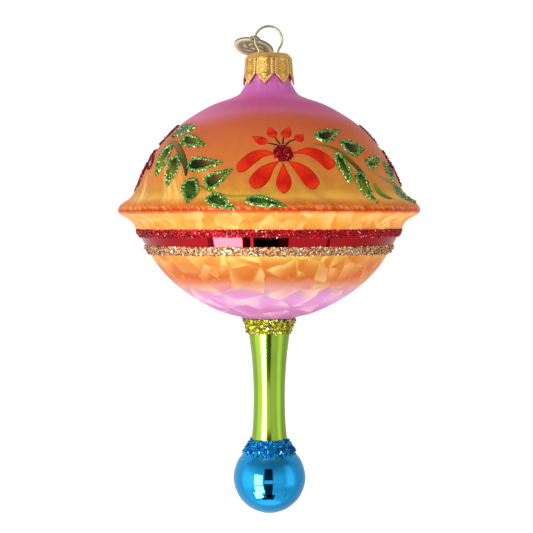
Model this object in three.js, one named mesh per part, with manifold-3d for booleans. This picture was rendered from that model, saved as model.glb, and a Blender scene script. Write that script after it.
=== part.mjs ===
// Hanging blown-glass ornament in the shape of a maraca: patterned vessel, crown cap,
// wire hanger and hang tag.
// Millimetres, +Z up, origin at the lowest point of the ball end, -Y is the front.
// An azimuth ("az") is in degrees round +Z, measured from the front (-Y) towards +X.
import * as THREE from "three";
import { mergeVertices } from "three/addons/utils/BufferGeometryUtils.js";
import ManifoldModule from "manifold-3d";

const wasm = await ManifoldModule();
wasm.setup();

const { degToRad } = THREE.MathUtils;
const model = new THREE.Group();

// ------------------------------------------------------------------ finishes
const FINISHES = {
  glass: { color: 0xd8703c, roughness: 0.25, metalness: 0.3 },
  redBand: { color: 0xa80a1c, roughness: 0.35, metalness: 0.6 },
  goldBand: { color: 0xc9a06c, roughness: 0.35, metalness: 0.6 },
  greenCollar: { color: 0xa8a828, roughness: 0.35, metalness: 0.6 },
  blueCollar: { color: 0x1478b8, roughness: 0.35, metalness: 0.6 },
  leaf: { color: 0x4f9a34, roughness: 0.35, metalness: 0.5 },
  petal: { color: 0x7a0c1c, roughness: 0.35, metalness: 0.5 },
  flowerCentre: { color: 0xa00818, roughness: 0.35, metalness: 0.5 },
  cap: { color: 0xc89a3c, roughness: 0.35, metalness: 0.9 },
  wire: { color: 0xcdbb8c, roughness: 0.25, metalness: 1.0 },
  tag: { color: 0x9c8468, roughness: 0.4, metalness: 0.9 },
};

function add(name, geometry, finish) {
  const mesh = new THREE.Mesh(geometry, new THREE.MeshStandardMaterial(finish));
  mesh.name = name;
  model.add(mesh);
  return mesh;
}

// ------------------------------------------------------------------ geometry helpers
// Closed surface from points and triangles; all faces are flipped if the volume is negative.
function closedSurface(points, triangles) {
  let sixVolumes = 0;
  for (const [i, j, k] of triangles) {
    sixVolumes += points[i].dot(points[j].clone().cross(points[k]));
  }
  const outward = sixVolumes > 0 ? triangles : triangles.map(([i, j, k]) => [i, k, j]);
  const coordinates = points.flatMap(({ x, y, z }) => [x, y, z]);
  const geometry = new THREE.BufferGeometry();
  geometry.setAttribute("position", new THREE.Float32BufferAttribute(coordinates, 3));
  geometry.setIndex(outward.flat());
  geometry.computeVertexNormals();
  return geometry;
}

// Body of revolution about Z from [z, radius] pairs, listed so that the faces point out.
function revolve(profile, segments) {
  const outline = profile.map(([z, radius]) => new THREE.Vector2(radius, z));
  return new THREE.LatheGeometry(outline, segments).rotateX(Math.PI / 2);
}

// Round bar along Z, centred on the origin.
function roundBar(radius, length, sides) {
  return new THREE.CylinderGeometry(radius, radius, length, sides).rotateX(Math.PI / 2);
}

// Manifold needs corners shared by position alone, so normals and uvs go before the merge.
function toSolid(geometry) {
  const loose = geometry.index ? geometry.toNonIndexed() : geometry.clone();
  loose.deleteAttribute("normal");
  loose.deleteAttribute("uv");
  const merged = mergeVertices(loose, 1e-4);
  return new wasm.Manifold(new wasm.Mesh({
    numProp: 3,
    vertProperties: merged.attributes.position.array,
    triVerts: new Uint32Array(merged.index.array),
  }));
}

function fromSolid(solid) {
  const mesh = solid.getMesh();
  const geometry = new THREE.BufferGeometry();
  geometry.setAttribute("position", new THREE.BufferAttribute(mesh.vertProperties, 3));
  geometry.setIndex(new THREE.BufferAttribute(mesh.triVerts, 1));
  geometry.computeVertexNormals();
  return geometry;
}

// ------------------------------------------------------------------ glass vessel
const VESSEL_SEGMENTS = 36;

// Outside of the glass, [z, radius], ball end to neck.
const GLASS_OUTSIDE = [
  [0, 0], [0.34, 2.52], [1.72, 6.06], [3.78, 8.68], [5.83, 10.29], [8.6, 11.52],
  [11.3, 12.07], [13.4, 11.95], [15.6, 11.42], [18.04, 10.41], [20.5, 8.4], [22.1, 7.25],
  [24.0, 6.2], [26.0, 5.84], [31.0, 5.4], [41.0, 5.22], [51.0, 5.75], [57.8, 6.52],
  [62.5, 7.29], [65.2, 8.6], [65.9, 10.0], [66.6, 13.0], [67.9, 16.85], [70.0, 21.14],
  [73.3, 26.76], [77.4, 31.89], [82.0, 36.2], [87.3, 39.8], [91.4, 42.01], [95.4, 44.15],
  [97.35, 45.44], [98.75, 47.43], [100.0, 49.55], [101.1, 50.05], [102.4, 49.65],
  [103.6, 48.45], [105.2, 46.1], [108.0, 44.05], [113.0, 41.85], [118.5, 38.82],
  [123.75, 34.95], [129.0, 29.79], [133.0, 24.03], [136.0, 18.5], [138.2, 12.4],
  [139.5, 9.8], [141.0, 8.7], [142.3, 8.0], [143.2, 7.45], [145.0, 7.0], [151.4, 6.85],
  [151.9, 6.6], [152.15, 6.35],
];
// Inside of the glass, [z, radius], neck to ball end: a wall of about 1 mm, open at the neck.
const GLASS_INSIDE = [
  [152.15, 5.98], [145.0, 5.95], [142.4, 6.7], [139.4, 8.4], [137.0, 12.9], [131.9, 23.6],
  [127.4, 29.6], [117.7, 38.1], [107.4, 43.2], [102.8, 47.6], [101.2, 48.95], [99.6, 47.6],
  [97.0, 43.9], [86.6, 38.2], [78.2, 31.0], [71.0, 20.3], [67.6, 12.6], [66.4, 8.8],
  [63.6, 6.7], [57.8, 5.5], [42.0, 4.2], [30.8, 4.4], [24.6, 5.0], [21.4, 6.5],
  [18.4, 9.1], [13.4, 10.9], [7.0, 9.8], [2.9, 6.0], [1.1, 0],
];

add("glass_vessel", revolve([...GLASS_OUTSIDE, ...GLASS_INSIDE], VESSEL_SEGMENTS), FINISHES.glass);

// ------------------------------------------------------------------ places on the glass
function radiusAt(z) {
  const next = GLASS_OUTSIDE.findIndex(([stationZ], i) => i > 0 && z <= stationZ);
  const [z0, r0] = GLASS_OUTSIDE[next - 1];
  const [z1, r1] = GLASS_OUTSIDE[next];
  return r0 + ((r1 - r0) * (z - z0)) / (z1 - z0);
}

function onGlass([az, z]) {
  const radius = radiusAt(z);
  const angle = degToRad(az);
  return new THREE.Vector3(radius * Math.sin(angle), -radius * Math.cos(angle), z);
}

// Nearest place on the outside profile to (radius, z), with the outward normal there.
function nearestOnProfile(radius, z) {
  let best = { distance: Infinity };
  for (let i = 1; i < GLASS_OUTSIDE.length; i++) {
    const [z0, r0] = GLASS_OUTSIDE[i - 1];
    const [z1, r1] = GLASS_OUTSIDE[i];
    const rise = z1 - z0;
    const spread = r1 - r0;
    const lengthSq = rise * rise + spread * spread;
    const share = THREE.MathUtils.clamp(
      ((z - z0) * rise + (radius - r0) * spread) / lengthSq, 0, 1);
    const nearZ = z0 + share * rise;
    const nearRadius = r0 + share * spread;
    const distance = Math.hypot(z - nearZ, radius - nearRadius);
    if (distance < best.distance) {
      const length = Math.sqrt(lengthSq);
      best = {
        distance,
        z: nearZ,
        radius: nearRadius,
        normalZ: -spread / length,
        normalRadial: rise / length,
      };
    }
  }
  return best;
}

// Moves a point to the glass and lifts it off along the outward normal.
function seat(point, lift) {
  const fromAxis = Math.hypot(point.x, point.y);
  const near = nearestOnProfile(fromAxis, point.z);
  const radius = near.radius + near.normalRadial * lift;
  return new THREE.Vector3(
    (point.x / fromAxis) * radius,
    (point.y / fromAxis) * radius,
    near.z + near.normalZ * lift,
  );
}

// Flat frame touching the glass at a point: its x runs level, its y up the surface.
function tangentFrame(origin) {
  const fromAxis = Math.hypot(origin.x, origin.y);
  const near = nearestOnProfile(fromAxis, origin.z);
  const normal = new THREE.Vector3(
    (origin.x / fromAxis) * near.normalRadial,
    (origin.y / fromAxis) * near.normalRadial,
    near.normalZ,
  ).normalize();
  const level = new THREE.Vector3(-origin.y / fromAxis, origin.x / fromAxis, 0);
  const upslope = new THREE.Vector3().crossVectors(normal, level);
  return {
    toFlat(point) {
      const offset = point.clone().sub(origin);
      return new THREE.Vector2(offset.dot(level), offset.dot(upslope));
    },
    fromFlat({ x, y }) {
      return origin.clone().addScaledVector(level, x).addScaledVector(upslope, y);
    },
  };
}

// ------------------------------------------------------------------ glitter bands and collars
const TRIM_GAP = 0.12; // between the glass and everything seated on it
const TRIM_EDGE_CLEARANCE = 0.2; // glass stations this close to a trim's edge are skipped
const TRIM_BOTTOM_SHARE = 0.25; // start of the outer face, as a share of the way up
const TRIM_TOP_DROP = 0.1; // end of the outer face below the inner top edge

// Lower edge, upper edge and how far each stands out.
const TRIMS = [
  ["glitter_band_red", { bottom: 92.6, top: 94.95, proud: 0.5 }, FINISHES.redBand],
  ["glitter_band_gold", { bottom: 86.95, top: 89.55, proud: 0.5 }, FINISHES.goldBand],
  ["glitter_collar_green", { bottom: 60.3, top: 65.1, proud: 0.5 }, FINISHES.greenCollar],
  ["glitter_collar_blue", { bottom: 20.6, top: 25.0, proud: 0.6 }, FINISHES.blueCollar],
];

// Shifts a [z, radius] line outwards, square to the chord between each point's neighbours.
function offsetLine(line, distance) {
  return line.map(([z, radius], i) => {
    const [zBefore, rBefore] = line[Math.max(0, i - 1)];
    const [zAfter, rAfter] = line[Math.min(line.length - 1, i + 1)];
    const rise = zAfter - zBefore;
    const spread = rAfter - rBefore;
    const length = Math.hypot(rise, spread);
    return [z - (spread / length) * distance, radius + (rise / length) * distance];
  });
}

function trimRing({ bottom, top, proud }) {
  const covered = GLASS_OUTSIDE.filter(
    ([z]) => z > bottom + TRIM_EDGE_CLEARANCE && z < top - TRIM_EDGE_CLEARANCE);
  const glassLine = [[bottom, radiusAt(bottom)], ...covered, [top, radiusAt(top)]];
  const inner = offsetLine(glassLine, TRIM_GAP);
  const outer = offsetLine(glassLine, TRIM_GAP + proud);
  const innerBottom = inner[0][0];
  outer[0][0] = innerBottom + TRIM_BOTTOM_SHARE * (outer[1][0] - innerBottom);
  outer.at(-1)[0] = inner.at(-1)[0] - TRIM_TOP_DROP;
  return revolve([...outer, ...inner.reverse(), outer[0]], VESSEL_SEGMENTS);
}

for (const [name, size, finish] of TRIMS) add(name, trimRing(size), finish);

// ------------------------------------------------------------------ leaf and petal cords
const CORD_W = 0.95;
const CORD_H = 0.6;
const CORD_TIP_INSET = 2.1 * CORD_W; // inner line's tip behind the outer one's
const STEPS_TO_SIDE = 4;
const STEPS_TO_END = 3;

// Leaf outlines: name, then [az, z] of the sharp tip, the round end and the two sides.
const LEAVES = [
  ["left_1", [-47.7, 127.24], [-66.6, 124.94], [-61.8, 128.52], [-53.7, 125.38]],
  ["left_2", [-32.1, 121.28], [-51.9, 122.82], [-45.5, 124.87], [-40.9, 120.96]],
  ["left_3", [-57.4, 111.99], [-59.9, 122.02], [-64.5, 118.86], [-53.9, 117.78]],
  ["left_4", [-46.6, 108.5], [-49.2, 118.43], [-51.1, 114.82], [-43.3, 115.01]],
  ["left_5", [-20.7, 115.6], [-38.2, 114.95], [-35.4, 117.55], [-32.3, 113.06]],
  ["left_6", [-15.7, 113.54], [-27.3, 109.68], [-26.2, 111.89], [-23.1, 107.42]],
  ["left_7", [-30.5, 103.1], [-34.5, 110.86], [-37.7, 108.48], [-29.2, 107.78]],
  ["left_8", [-12.2, 101.3], [-23.8, 104.68], [-20.0, 106.18], [-20.1, 102.28]],
  ["left_9", [6.0, 102.2], [-8.4, 103.66], [-4.0, 105.29], [-4.7, 102.3]],
  ["right_1", [42.5, 126.37], [24.5, 123.87], [30.4, 125.96], [29.2, 122.07]],
  ["right_2", [53.0, 120.3], [38.5, 122.46], [46.1, 122.54], [41.8, 118.23]],
  ["right_3", [34.6, 109.15], [32.7, 118.64], [30.9, 115.78], [37.3, 113.22]],
  ["right_4", [42.5, 103.16], [40.9, 112.86], [38.8, 109.6], [45.3, 110.7]],
  ["right_5", [63.9, 118.24], [49.8, 114.29], [49.9, 116.72], [57.5, 115.12]],
  ["right_6", [67.9, 109.97], [69.5, 116.23], [64.3, 113.32], [72.2, 113.06]],
  ["right_7", [77.5, 103.32], [65.6, 108.42], [65.5, 104.89], [73.0, 107.55]],
];
// The rear repeats the front leaves, turned round the axis, without these.
const FRONT_ONLY_LEAVES = ["right_5", "right_6", "right_7"];
const REAR_TURN_LEFT = 188;
const REAR_TURN_RIGHT = 184;

// Side flowers: name and azimuth of the centre.
const SIDE_FLOWERS = [["west", -91], ["east", 98]];
const SIDE_FLOWER_Z = 119.45;
// Petal outlines as [az, z] from the flower's centre: tip, round end and the two sides.
const PETALS = [
  [[-4.6, 0.0], [-20.2, -5.0], [-14.0, 0.9], [-11.6, -4.6]],
  [[-2.0, -2.9], [-13.4, -10.2], [-11.2, -4.9], [-5.4, -7.8]],
  [[-0.2, -3.6], [-0.4, -12.3], [-3.5, -9.2], [2.8, -9.2]],
  [[2.4, -2.9], [12.8, -10.6], [6.2, -7.6], [12.4, -5.4]],
  [[4.6, 0.1], [22.4, -4.4], [12.9, -4.1], [15.9, -0.7]],
  [[2.6, 3.0], [12.6, 9.4], [5.4, 7.4], [11.0, 4.6]],
  [[-2.6, 3.0], [-12.6, 9.4], [-11.0, 4.6], [-5.4, 7.4]],
];

// Part of tip-to-side that is square to the leaf's direction.
function acrossLeaf(tip, direction, side) {
  const reach = side.clone().sub(tip);
  return reach.addScaledVector(direction, -reach.dot(direction));
}

// Leaf-shaped closed line: sharp at the tip, round at the end, widest at the two sides.
function leafLine(tip, end, sideA, sideB) {
  const direction = end.clone().sub(tip).normalize();
  const halfLine = (side) => {
    const reach = side.distanceTo(tip);
    const across = acrossLeaf(tip, direction, side);
    const along = end.clone().sub(side).dot(direction);
    const toSide = new THREE.CubicBezierCurve(
      tip,
      tip.clone().lerp(side, 0.42),
      side.clone().addScaledVector(direction, -0.36 * reach),
      side,
    );
    const toEnd = new THREE.CubicBezierCurve(
      side,
      side.clone().addScaledVector(direction, 0.58 * along),
      end.clone().addScaledVector(across, 0.58),
      end,
    );
    return [...toSide.getPoints(STEPS_TO_SIDE), ...toEnd.getPoints(STEPS_TO_END).slice(1)];
  };
  return [...halfLine(sideA), ...halfLine(sideB).slice(1, -1).reverse()];
}

// Cord of triangular section that follows a leaf shape; corners are [az, z].
function leafCord(corners) {
  const places = corners.map(onGlass);
  const centre = new THREE.Vector3();
  for (const place of places) centre.add(place);
  centre.multiplyScalar(1 / places.length);
  const frame = tangentFrame(seat(centre, 0));

  const [tip, end, sideA, sideB] = places.map(frame.toFlat);
  const direction = end.clone().sub(tip).normalize();
  const inset = (side) => {
    const across = acrossLeaf(tip, direction, side).normalize();
    return side.clone().addScaledVector(across, -CORD_W);
  };
  const outer = leafLine(tip, end, sideA, sideB);
  const inner = leafLine(
    tip.clone().addScaledVector(direction, CORD_TIP_INSET),
    end.clone().addScaledVector(direction, -CORD_W),
    inset(sideA),
    inset(sideB),
  );

  // Three points per station: outer foot, inner foot, ridge.
  const points = outer.flatMap((flat, i) => {
    const outerFoot = frame.fromFlat(flat);
    const innerFoot = frame.fromFlat(inner[i]);
    const middle = outerFoot.clone().lerp(innerFoot, 0.5);
    return [
      seat(outerFoot, TRIM_GAP), seat(innerFoot, TRIM_GAP), seat(middle, TRIM_GAP + CORD_H),
    ];
  });
  const triangles = [];
  for (let i = 0; i < outer.length; i++) {
    const here = 3 * i;
    const next = 3 * ((i + 1) % outer.length);
    for (let j = 0; j < 3; j++) {
      const k = (j + 1) % 3;
      triangles.push([here + j, next + j, next + k], [here + j, next + k, here + k]);
    }
  }
  return closedSurface(points, triangles);
}

function shifted(corners, turn, rise) {
  return corners.map(([az, z]) => [az + turn, z + rise]);
}

for (const [name, ...corners] of LEAVES) {
  add(`leaf_cord_front_${name}`, leafCord(corners), FINISHES.leaf);
}
for (const [name, ...corners] of LEAVES) {
  if (FRONT_ONLY_LEAVES.includes(name)) continue;
  const turn = name.startsWith("left") ? REAR_TURN_LEFT : REAR_TURN_RIGHT;
  add(`leaf_cord_rear_${name}`, leafCord(shifted(corners, turn, 0)), FINISHES.leaf);
}
for (const [side, az] of SIDE_FLOWERS) {
  PETALS.forEach((corners, i) => {
    const cord = leafCord(shifted(corners, az, SIDE_FLOWER_Z));
    add(`petal_cord_${side}_${i + 1}`, cord, FINISHES.petal);
  });
}

// ------------------------------------------------------------------ flower centres
const FRONT_FLOWER_AZ = 6.35;
const FRONT_FLOWER_Z = 118.44;
const MAIN_CENTRE = { radius: 2.85, height: 0.95 };
const SIDE_CENTRE = { radius: 2.5, height: 0.85 };
const DOME_SIDES = 14;
// Rings of a dome, foot upwards: share of the radius, share of the height.
const DOME_RINGS = [[1, 0], [0.93, 0.45], [0.62, 0.85]];

// Low dome seated on the glass.
function dome(place, { radius, height }) {
  const centre = seat(onGlass(place), 0);
  const frame = tangentFrame(centre);
  const points = [];
  for (const [radiusShare, heightShare] of DOME_RINGS) {
    for (let i = 0; i < DOME_SIDES; i++) {
      const angle = (2 * Math.PI * i) / DOME_SIDES;
      const x = Math.cos(angle) * radius * radiusShare;
      const y = Math.sin(angle) * radius * radiusShare;
      points.push(seat(frame.fromFlat({ x, y }), TRIM_GAP + heightShare * height));
    }
  }
  const lastRing = points.length - DOME_SIDES;
  const top = points.push(seat(centre, TRIM_GAP + height)) - 1;
  const foot = points.push(seat(centre, TRIM_GAP)) - 1;

  const triangles = [];
  for (let i = 0; i < DOME_SIDES; i++) {
    const j = (i + 1) % DOME_SIDES;
    triangles.push([foot, j, i], [lastRing + i, lastRing + j, top]);
    for (let lower = 0; lower < lastRing; lower += DOME_SIDES) {
      const upper = lower + DOME_SIDES;
      triangles.push([lower + i, lower + j, upper + j], [lower + i, upper + j, upper + i]);
    }
  }
  return closedSurface(points, triangles);
}

const FLOWER_CENTRES = [
  ["front", FRONT_FLOWER_AZ, FRONT_FLOWER_Z, MAIN_CENTRE],
  ["rear", FRONT_FLOWER_AZ + 180, FRONT_FLOWER_Z, MAIN_CENTRE],
  ...SIDE_FLOWERS.map(([side, az]) => [side, az, SIDE_FLOWER_Z, SIDE_CENTRE]),
];
for (const [name, az, z, size] of FLOWER_CENTRES) {
  add(`flower_centre_${name}`, dome([az, z], size), FINISHES.flowerCentre);
}

// ------------------------------------------------------------------ crown cap
const DRILL_LENGTH = 4;
const CAP_SEGMENTS = 40;
const SHEET = 0.35;
const CAP_TOP_Z = 152.8;
const CAP_TOP_R = 6.46;
const CAP_SHOULDER_Z = 151.35;
const CAP_SHOULDER_R = 7.68;
const CAP_TIP_Z = 142.55;
const CAP_TIP_R = 8.45;
const CAP_PETALS = 8;
const FIRST_GAP_AZ = 13.3;
const SLIT_HALF = 0.17;
const SLIT_BOTTOM_Z = 146.0;
const SLIT_TOP_Z = 150.9;
const CAP_SKIRT_Z = SLIT_BOTTOM_Z + 0.5;
const CAP_SKIRT_R = 8.02;
const CUTTER_START = 5; // from the axis
const CUTTER_DEPTH = 7;
const LEG_HOLE_X = 3.12;
const LEG_HOLE_R = 0.78;

// Pressed sheet, [z, radius]: up the outside, then down the inside.
const CAP_PROFILE = [
  [CAP_TIP_Z, CAP_TIP_R], [CAP_SKIRT_Z, CAP_SKIRT_R], [CAP_SHOULDER_Z, CAP_SHOULDER_R],
  [152.25, 7.15], [CAP_TOP_Z, CAP_TOP_R], [CAP_TOP_Z, 0],
  [CAP_TOP_Z - SHEET, 0], [CAP_TOP_Z - SHEET, CAP_TOP_R - 0.12], [152.0, 6.86],
  [CAP_SHOULDER_Z - 0.12, CAP_SHOULDER_R - SHEET], [CAP_SKIRT_Z, CAP_SKIRT_R - SHEET],
  [CAP_TIP_Z, CAP_TIP_R - SHEET], [CAP_TIP_Z, CAP_TIP_R],
];
// Half of the gap between two petals, [half width, z]: a slit that flares to the tips.
const HALF_GAP = [
  [SLIT_HALF, SLIT_TOP_Z], [SLIT_HALF, SLIT_BOTTOM_Z],
  [3.04, CAP_TIP_Z + 0.12], [3.16, CAP_TIP_Z - 0.1], [3.16, CAP_TIP_Z - 2],
];

// Cutter for one gap, pointing outwards from the axis at an azimuth.
function gapCutter(az) {
  const mirrored = HALF_GAP.map(([x, z]) => [-x, z]).reverse();
  const outline = [...HALF_GAP, ...mirrored].map(([x, z]) => new THREE.Vector2(x, z));
  const cutter = new THREE.ExtrudeGeometry(new THREE.Shape(outline), {
    depth: CUTTER_DEPTH,
    bevelEnabled: false,
  });
  const angle = degToRad(az);
  const sideways = new THREE.Vector3(Math.cos(angle), Math.sin(angle), 0);
  const up = new THREE.Vector3(0, 0, 1);
  const outwards = new THREE.Vector3(Math.sin(angle), -Math.cos(angle), 0);
  cutter.translate(0, 0, CUTTER_START);
  cutter.applyMatrix4(new THREE.Matrix4().makeBasis(sideways, up, outwards));
  return cutter;
}

function crownCap() {
  let cap = toSolid(revolve(CAP_PROFILE, CAP_SEGMENTS));
  for (let i = 0; i < CAP_PETALS; i++) {
    cap = cap.subtract(toSolid(gapCutter(FIRST_GAP_AZ + (360 / CAP_PETALS) * i)));
  }
  for (const x of [-LEG_HOLE_X, LEG_HOLE_X]) {
    const drill = roundBar(LEG_HOLE_R, DRILL_LENGTH, 12).translate(x, 0, CAP_TOP_Z);
    cap = cap.subtract(toSolid(drill));
  }
  return fromSolid(cap);
}
add("crown_cap", crownCap(), FINISHES.cap);

// ------------------------------------------------------------------ hanger
// Sprung wire: a ring above the cap and two legs that splay inside the neck.
const WIRE_R = 0.375;
const RING_Z = 157.56;
const RING_R = 4.5;
const RING_END_DEG = -38; // where the ring meets the leg, from level
const HALF_RING_STEPS = 8;
// Right leg, [x, z], downwards.
const LEG_PATH = [
  [3.22, 154.0], [3.12, 153.3], [3.1, 152.6], [3.15, 151.5], [3.4, 149.0], [3.9, 145.5],
  [4.5, 141.5], [5.0, 137.5], [5.25, 134.3],
];

function hangerWire() {
  const right = [];
  for (let i = 0; i <= HALF_RING_STEPS; i++) {
    const angle = degToRad(90 + ((RING_END_DEG - 90) * i) / HALF_RING_STEPS);
    right.push([RING_R * Math.cos(angle), RING_Z + RING_R * Math.sin(angle)]);
  }
  right.push(...LEG_PATH);
  const left = right.slice(1).reverse().map(([x, z]) => [-x, z]);
  const line = [...left, ...right].map(([x, z]) => new THREE.Vector3(x, 0, z));
  const section = new THREE.Shape();
  section.absarc(0, 0, WIRE_R, 0, 2 * Math.PI);
  return new THREE.ExtrudeGeometry(section, {
    steps: 44,
    curveSegments: 4,
    bevelEnabled: false,
    extrudePath: new THREE.CatmullRomCurve3(line, false, "centripetal"),
  });
}
add("hanger_wire", hangerWire(), FINISHES.wire);

// ------------------------------------------------------------------ hang tag
// Round plate with a raised edge and an eye that the ring passes through.
const TAG_R = 6.75;
const TAG_BEVEL = 0.15;
const TAG_EDGE = 0.5; // half thickness of the raised edge
const TAG_EDGE_R = 5.85;
const TAG_FACE = 0.32; // half thickness of the face
const TAG_FACE_R = 5.6;
const TAG_EYE_R = 0.78;
const TAG_EYE_OUT = 1.6;
const TAG_EYE_THICKNESS = 0.8;
const TAG_EYE_FROM_CENTRE = 6.9;
const TAG_EYE_AT = [-4.48, 0, 158.0];
const TAG_ROLL_DEG = 12;
const TAG_LEAN_DEG = 19.9;

// Built flat on XY, with the eye towards +Y.
function hangTag() {
  const plate = revolve([
    [-TAG_FACE, 0], [-TAG_FACE, TAG_FACE_R], [-TAG_EDGE, TAG_EDGE_R],
    [-TAG_EDGE, TAG_R - TAG_BEVEL], [0, TAG_R], [TAG_EDGE, TAG_R - TAG_BEVEL],
    [TAG_EDGE, TAG_EDGE_R], [TAG_FACE, TAG_FACE_R], [TAG_FACE, 0],
  ], 32);
  const eye = roundBar(TAG_EYE_OUT, TAG_EYE_THICKNESS, 18).translate(0, TAG_EYE_FROM_CENTRE, 0);
  const drill = roundBar(TAG_EYE_R, DRILL_LENGTH, 16).translate(0, TAG_EYE_FROM_CENTRE, 0);
  return fromSolid(toSolid(plate).add(toSolid(eye)).subtract(toSolid(drill)));
}

// Points the eye forwards and up by the lean, rolls the tag about Y, and puts the eye in place.
function placeTag(tag) {
  const roll = degToRad(TAG_ROLL_DEG);
  const lean = degToRad(TAG_LEAN_DEG);
  const across = new THREE.Vector3(Math.cos(roll), 0, -Math.sin(roll));
  const rolledUp = new THREE.Vector3(Math.sin(roll), 0, Math.cos(roll));
  const toEye = new THREE.Vector3(0, -Math.cos(lean), 0)
    .addScaledVector(rolledUp, Math.sin(lean));
  const normal = new THREE.Vector3().crossVectors(across, toEye);
  const axes = new THREE.Matrix4().makeBasis(across, toEye, normal);
  tag.quaternion.setFromRotationMatrix(axes);
  tag.position.set(...TAG_EYE_AT).addScaledVector(toEye, -TAG_EYE_FROM_CENTRE);
}
placeTag(add("hang_tag", hangTag(), FINISHES.tag));

export default model;
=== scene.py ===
"""Looks of a hanging glass ornament: blown glass with frosted lacquer and mirror zones, enamel
flowers, glitter relief, embossed cap, wire ring and tag.

The ornament stands along +Z with its lower tip at the origin, and its front faces -Y.
Mesh points are in millimetres and become metres when a mesh is made. Lights and camera are in
metres. An azimuth is in degrees round +Z from the front (-Y) towards +X. "Arc" is the length in
millimetres along the glass profile from the lower tip."""

import itertools
import math

import bmesh
import bpy
import numpy as np
from mathutils import Matrix, Vector
from mathutils.geometry import delaunay_2d_cdt


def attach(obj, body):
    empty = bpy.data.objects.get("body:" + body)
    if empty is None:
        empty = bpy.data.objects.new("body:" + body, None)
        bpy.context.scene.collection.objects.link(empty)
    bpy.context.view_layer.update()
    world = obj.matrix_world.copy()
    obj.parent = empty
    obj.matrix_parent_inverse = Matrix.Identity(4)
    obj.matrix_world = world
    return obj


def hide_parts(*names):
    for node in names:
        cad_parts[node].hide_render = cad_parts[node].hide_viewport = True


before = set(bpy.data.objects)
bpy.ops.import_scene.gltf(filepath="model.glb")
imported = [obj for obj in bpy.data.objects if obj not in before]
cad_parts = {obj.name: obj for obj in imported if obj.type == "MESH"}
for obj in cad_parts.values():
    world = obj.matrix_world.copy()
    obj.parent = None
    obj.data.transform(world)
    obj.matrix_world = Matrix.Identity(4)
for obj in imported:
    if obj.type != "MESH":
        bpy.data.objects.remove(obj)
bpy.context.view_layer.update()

MILLI = 0.001
TAU = math.tau
scene = bpy.context.scene
made = []  # every mesh of the ornament, in order


# ------------------------------------------------------------------ glass profile
# (z, radius) from the lower tip to the lip
GLASS_OUTSIDE = [
    (0, 0), (0.34, 2.52), (1.72, 6.06), (3.78, 8.68), (5.83, 10.29), (8.6, 11.52),
    (11.3, 12.07), (13.4, 11.95), (15.6, 11.42), (18.04, 10.41), (20.5, 8.4), (22.1, 7.25),
    (24.0, 6.2), (26.0, 5.84), (31.0, 5.4), (41.0, 5.22), (51.0, 5.75), (57.8, 6.52),
    (62.5, 7.29), (65.2, 8.6), (65.9, 10.0), (66.6, 13.0), (67.9, 16.85), (70.0, 21.14),
    (73.3, 26.76), (77.4, 31.89), (82.0, 36.2), (87.3, 39.8), (91.4, 42.01), (95.4, 44.15),
    (97.35, 45.44), (98.75, 47.43), (100.0, 49.55), (101.1, 50.05), (102.4, 49.65),
    (103.6, 48.45), (105.2, 46.1), (108.0, 44.05), (113.0, 41.85), (118.5, 38.82),
    (123.75, 34.95), (129.0, 29.79), (133.0, 24.03), (136.0, 18.5), (138.2, 12.4),
    (139.5, 9.8), (141.0, 8.7), (142.3, 8.0), (143.2, 7.45), (145.0, 7.0), (151.4, 6.85),
    (151.9, 6.6), (152.15, 6.35),
]
# (z, radius) from the lip down to the inner pole
GLASS_INSIDE = [
    (152.15, 5.98), (145.0, 5.95), (142.4, 6.7), (139.4, 8.4), (137.0, 12.9), (131.9, 23.6),
    (127.4, 29.6), (117.7, 38.1), (107.4, 43.2), (102.8, 47.6), (101.2, 48.95), (99.6, 47.6),
    (97.0, 43.9), (86.6, 38.2), (78.2, 31.0), (71.0, 20.3), (67.6, 12.6), (66.4, 8.8),
    (63.6, 6.7), (57.8, 5.5), (42.0, 4.2), (30.8, 4.4), (24.6, 5.0), (21.4, 6.5), (18.4, 9.1),
    (13.4, 10.9), (7.0, 9.8), (2.9, 6.0), (1.1, 0),
]
GLASS_LIP = np.array([(152.28, 6.25), (152.28, 6.08)])


def catmull(points, per, before=None):
    """Centripetal Catmull-Rom curve, per points to a span. before leads into the first point."""
    points = np.asarray(points, float)
    before = 2 * points[0] - points[1] if before is None else before
    knots = np.vstack([before, points, 2 * points[-1] - points[-2]])
    curve = []
    for i in range(1, len(knots) - 2):
        four = knots[i - 1 : i + 3]
        gaps = [max(1e-6, np.linalg.norm(b - a)) ** 0.5 for a, b in zip(four, four[1:])]
        time = np.cumsum([0.0] + gaps)
        at = np.linspace(time[1], time[2], per, endpoint=False)[:, None]

        def blend(first, last, start, end):
            span = time[end] - time[start]
            return (time[end] - at) / span * first + (at - time[start]) / span * last

        near = [blend(four[k], four[k + 1], k, k + 1) for k in range(3)]
        middle = [blend(near[k], near[k + 1], k, k + 2) for k in range(2)]
        curve.append(blend(*middle, 1, 2))
    return np.vstack(curve + [points[-1:]])


def close(points):
    return np.vstack([points, points[:1]])


def lengths(points):
    """Length along a line up to each of its points."""
    return np.concatenate([[0], np.cumsum(np.linalg.norm(np.diff(points, axis=0), axis=1))])


def resample(points, at, along=None):
    """Points of a line at given lengths. along overrides the line's own lengths."""
    along = lengths(points) if along is None else along
    return np.stack([np.interp(at, along, column) for column in points.T], 1)


def unit(vector):
    return vector / np.linalg.norm(vector)


def side_directions(line):
    """Unit vectors across a flat line, to the left of its course."""
    course = np.gradient(line, axis=0)
    course /= np.linalg.norm(course, axis=1, keepdims=True)
    return np.stack([-course[:, 1], course[:, 0]], 1)


def around(radius, angle, z):
    """Points at a radius and an angle in radians, counted as an azimuth."""
    grid = np.broadcast_arrays(radius * np.sin(angle), -radius * np.cos(angle), z)
    return np.stack(grid, -1)


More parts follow.
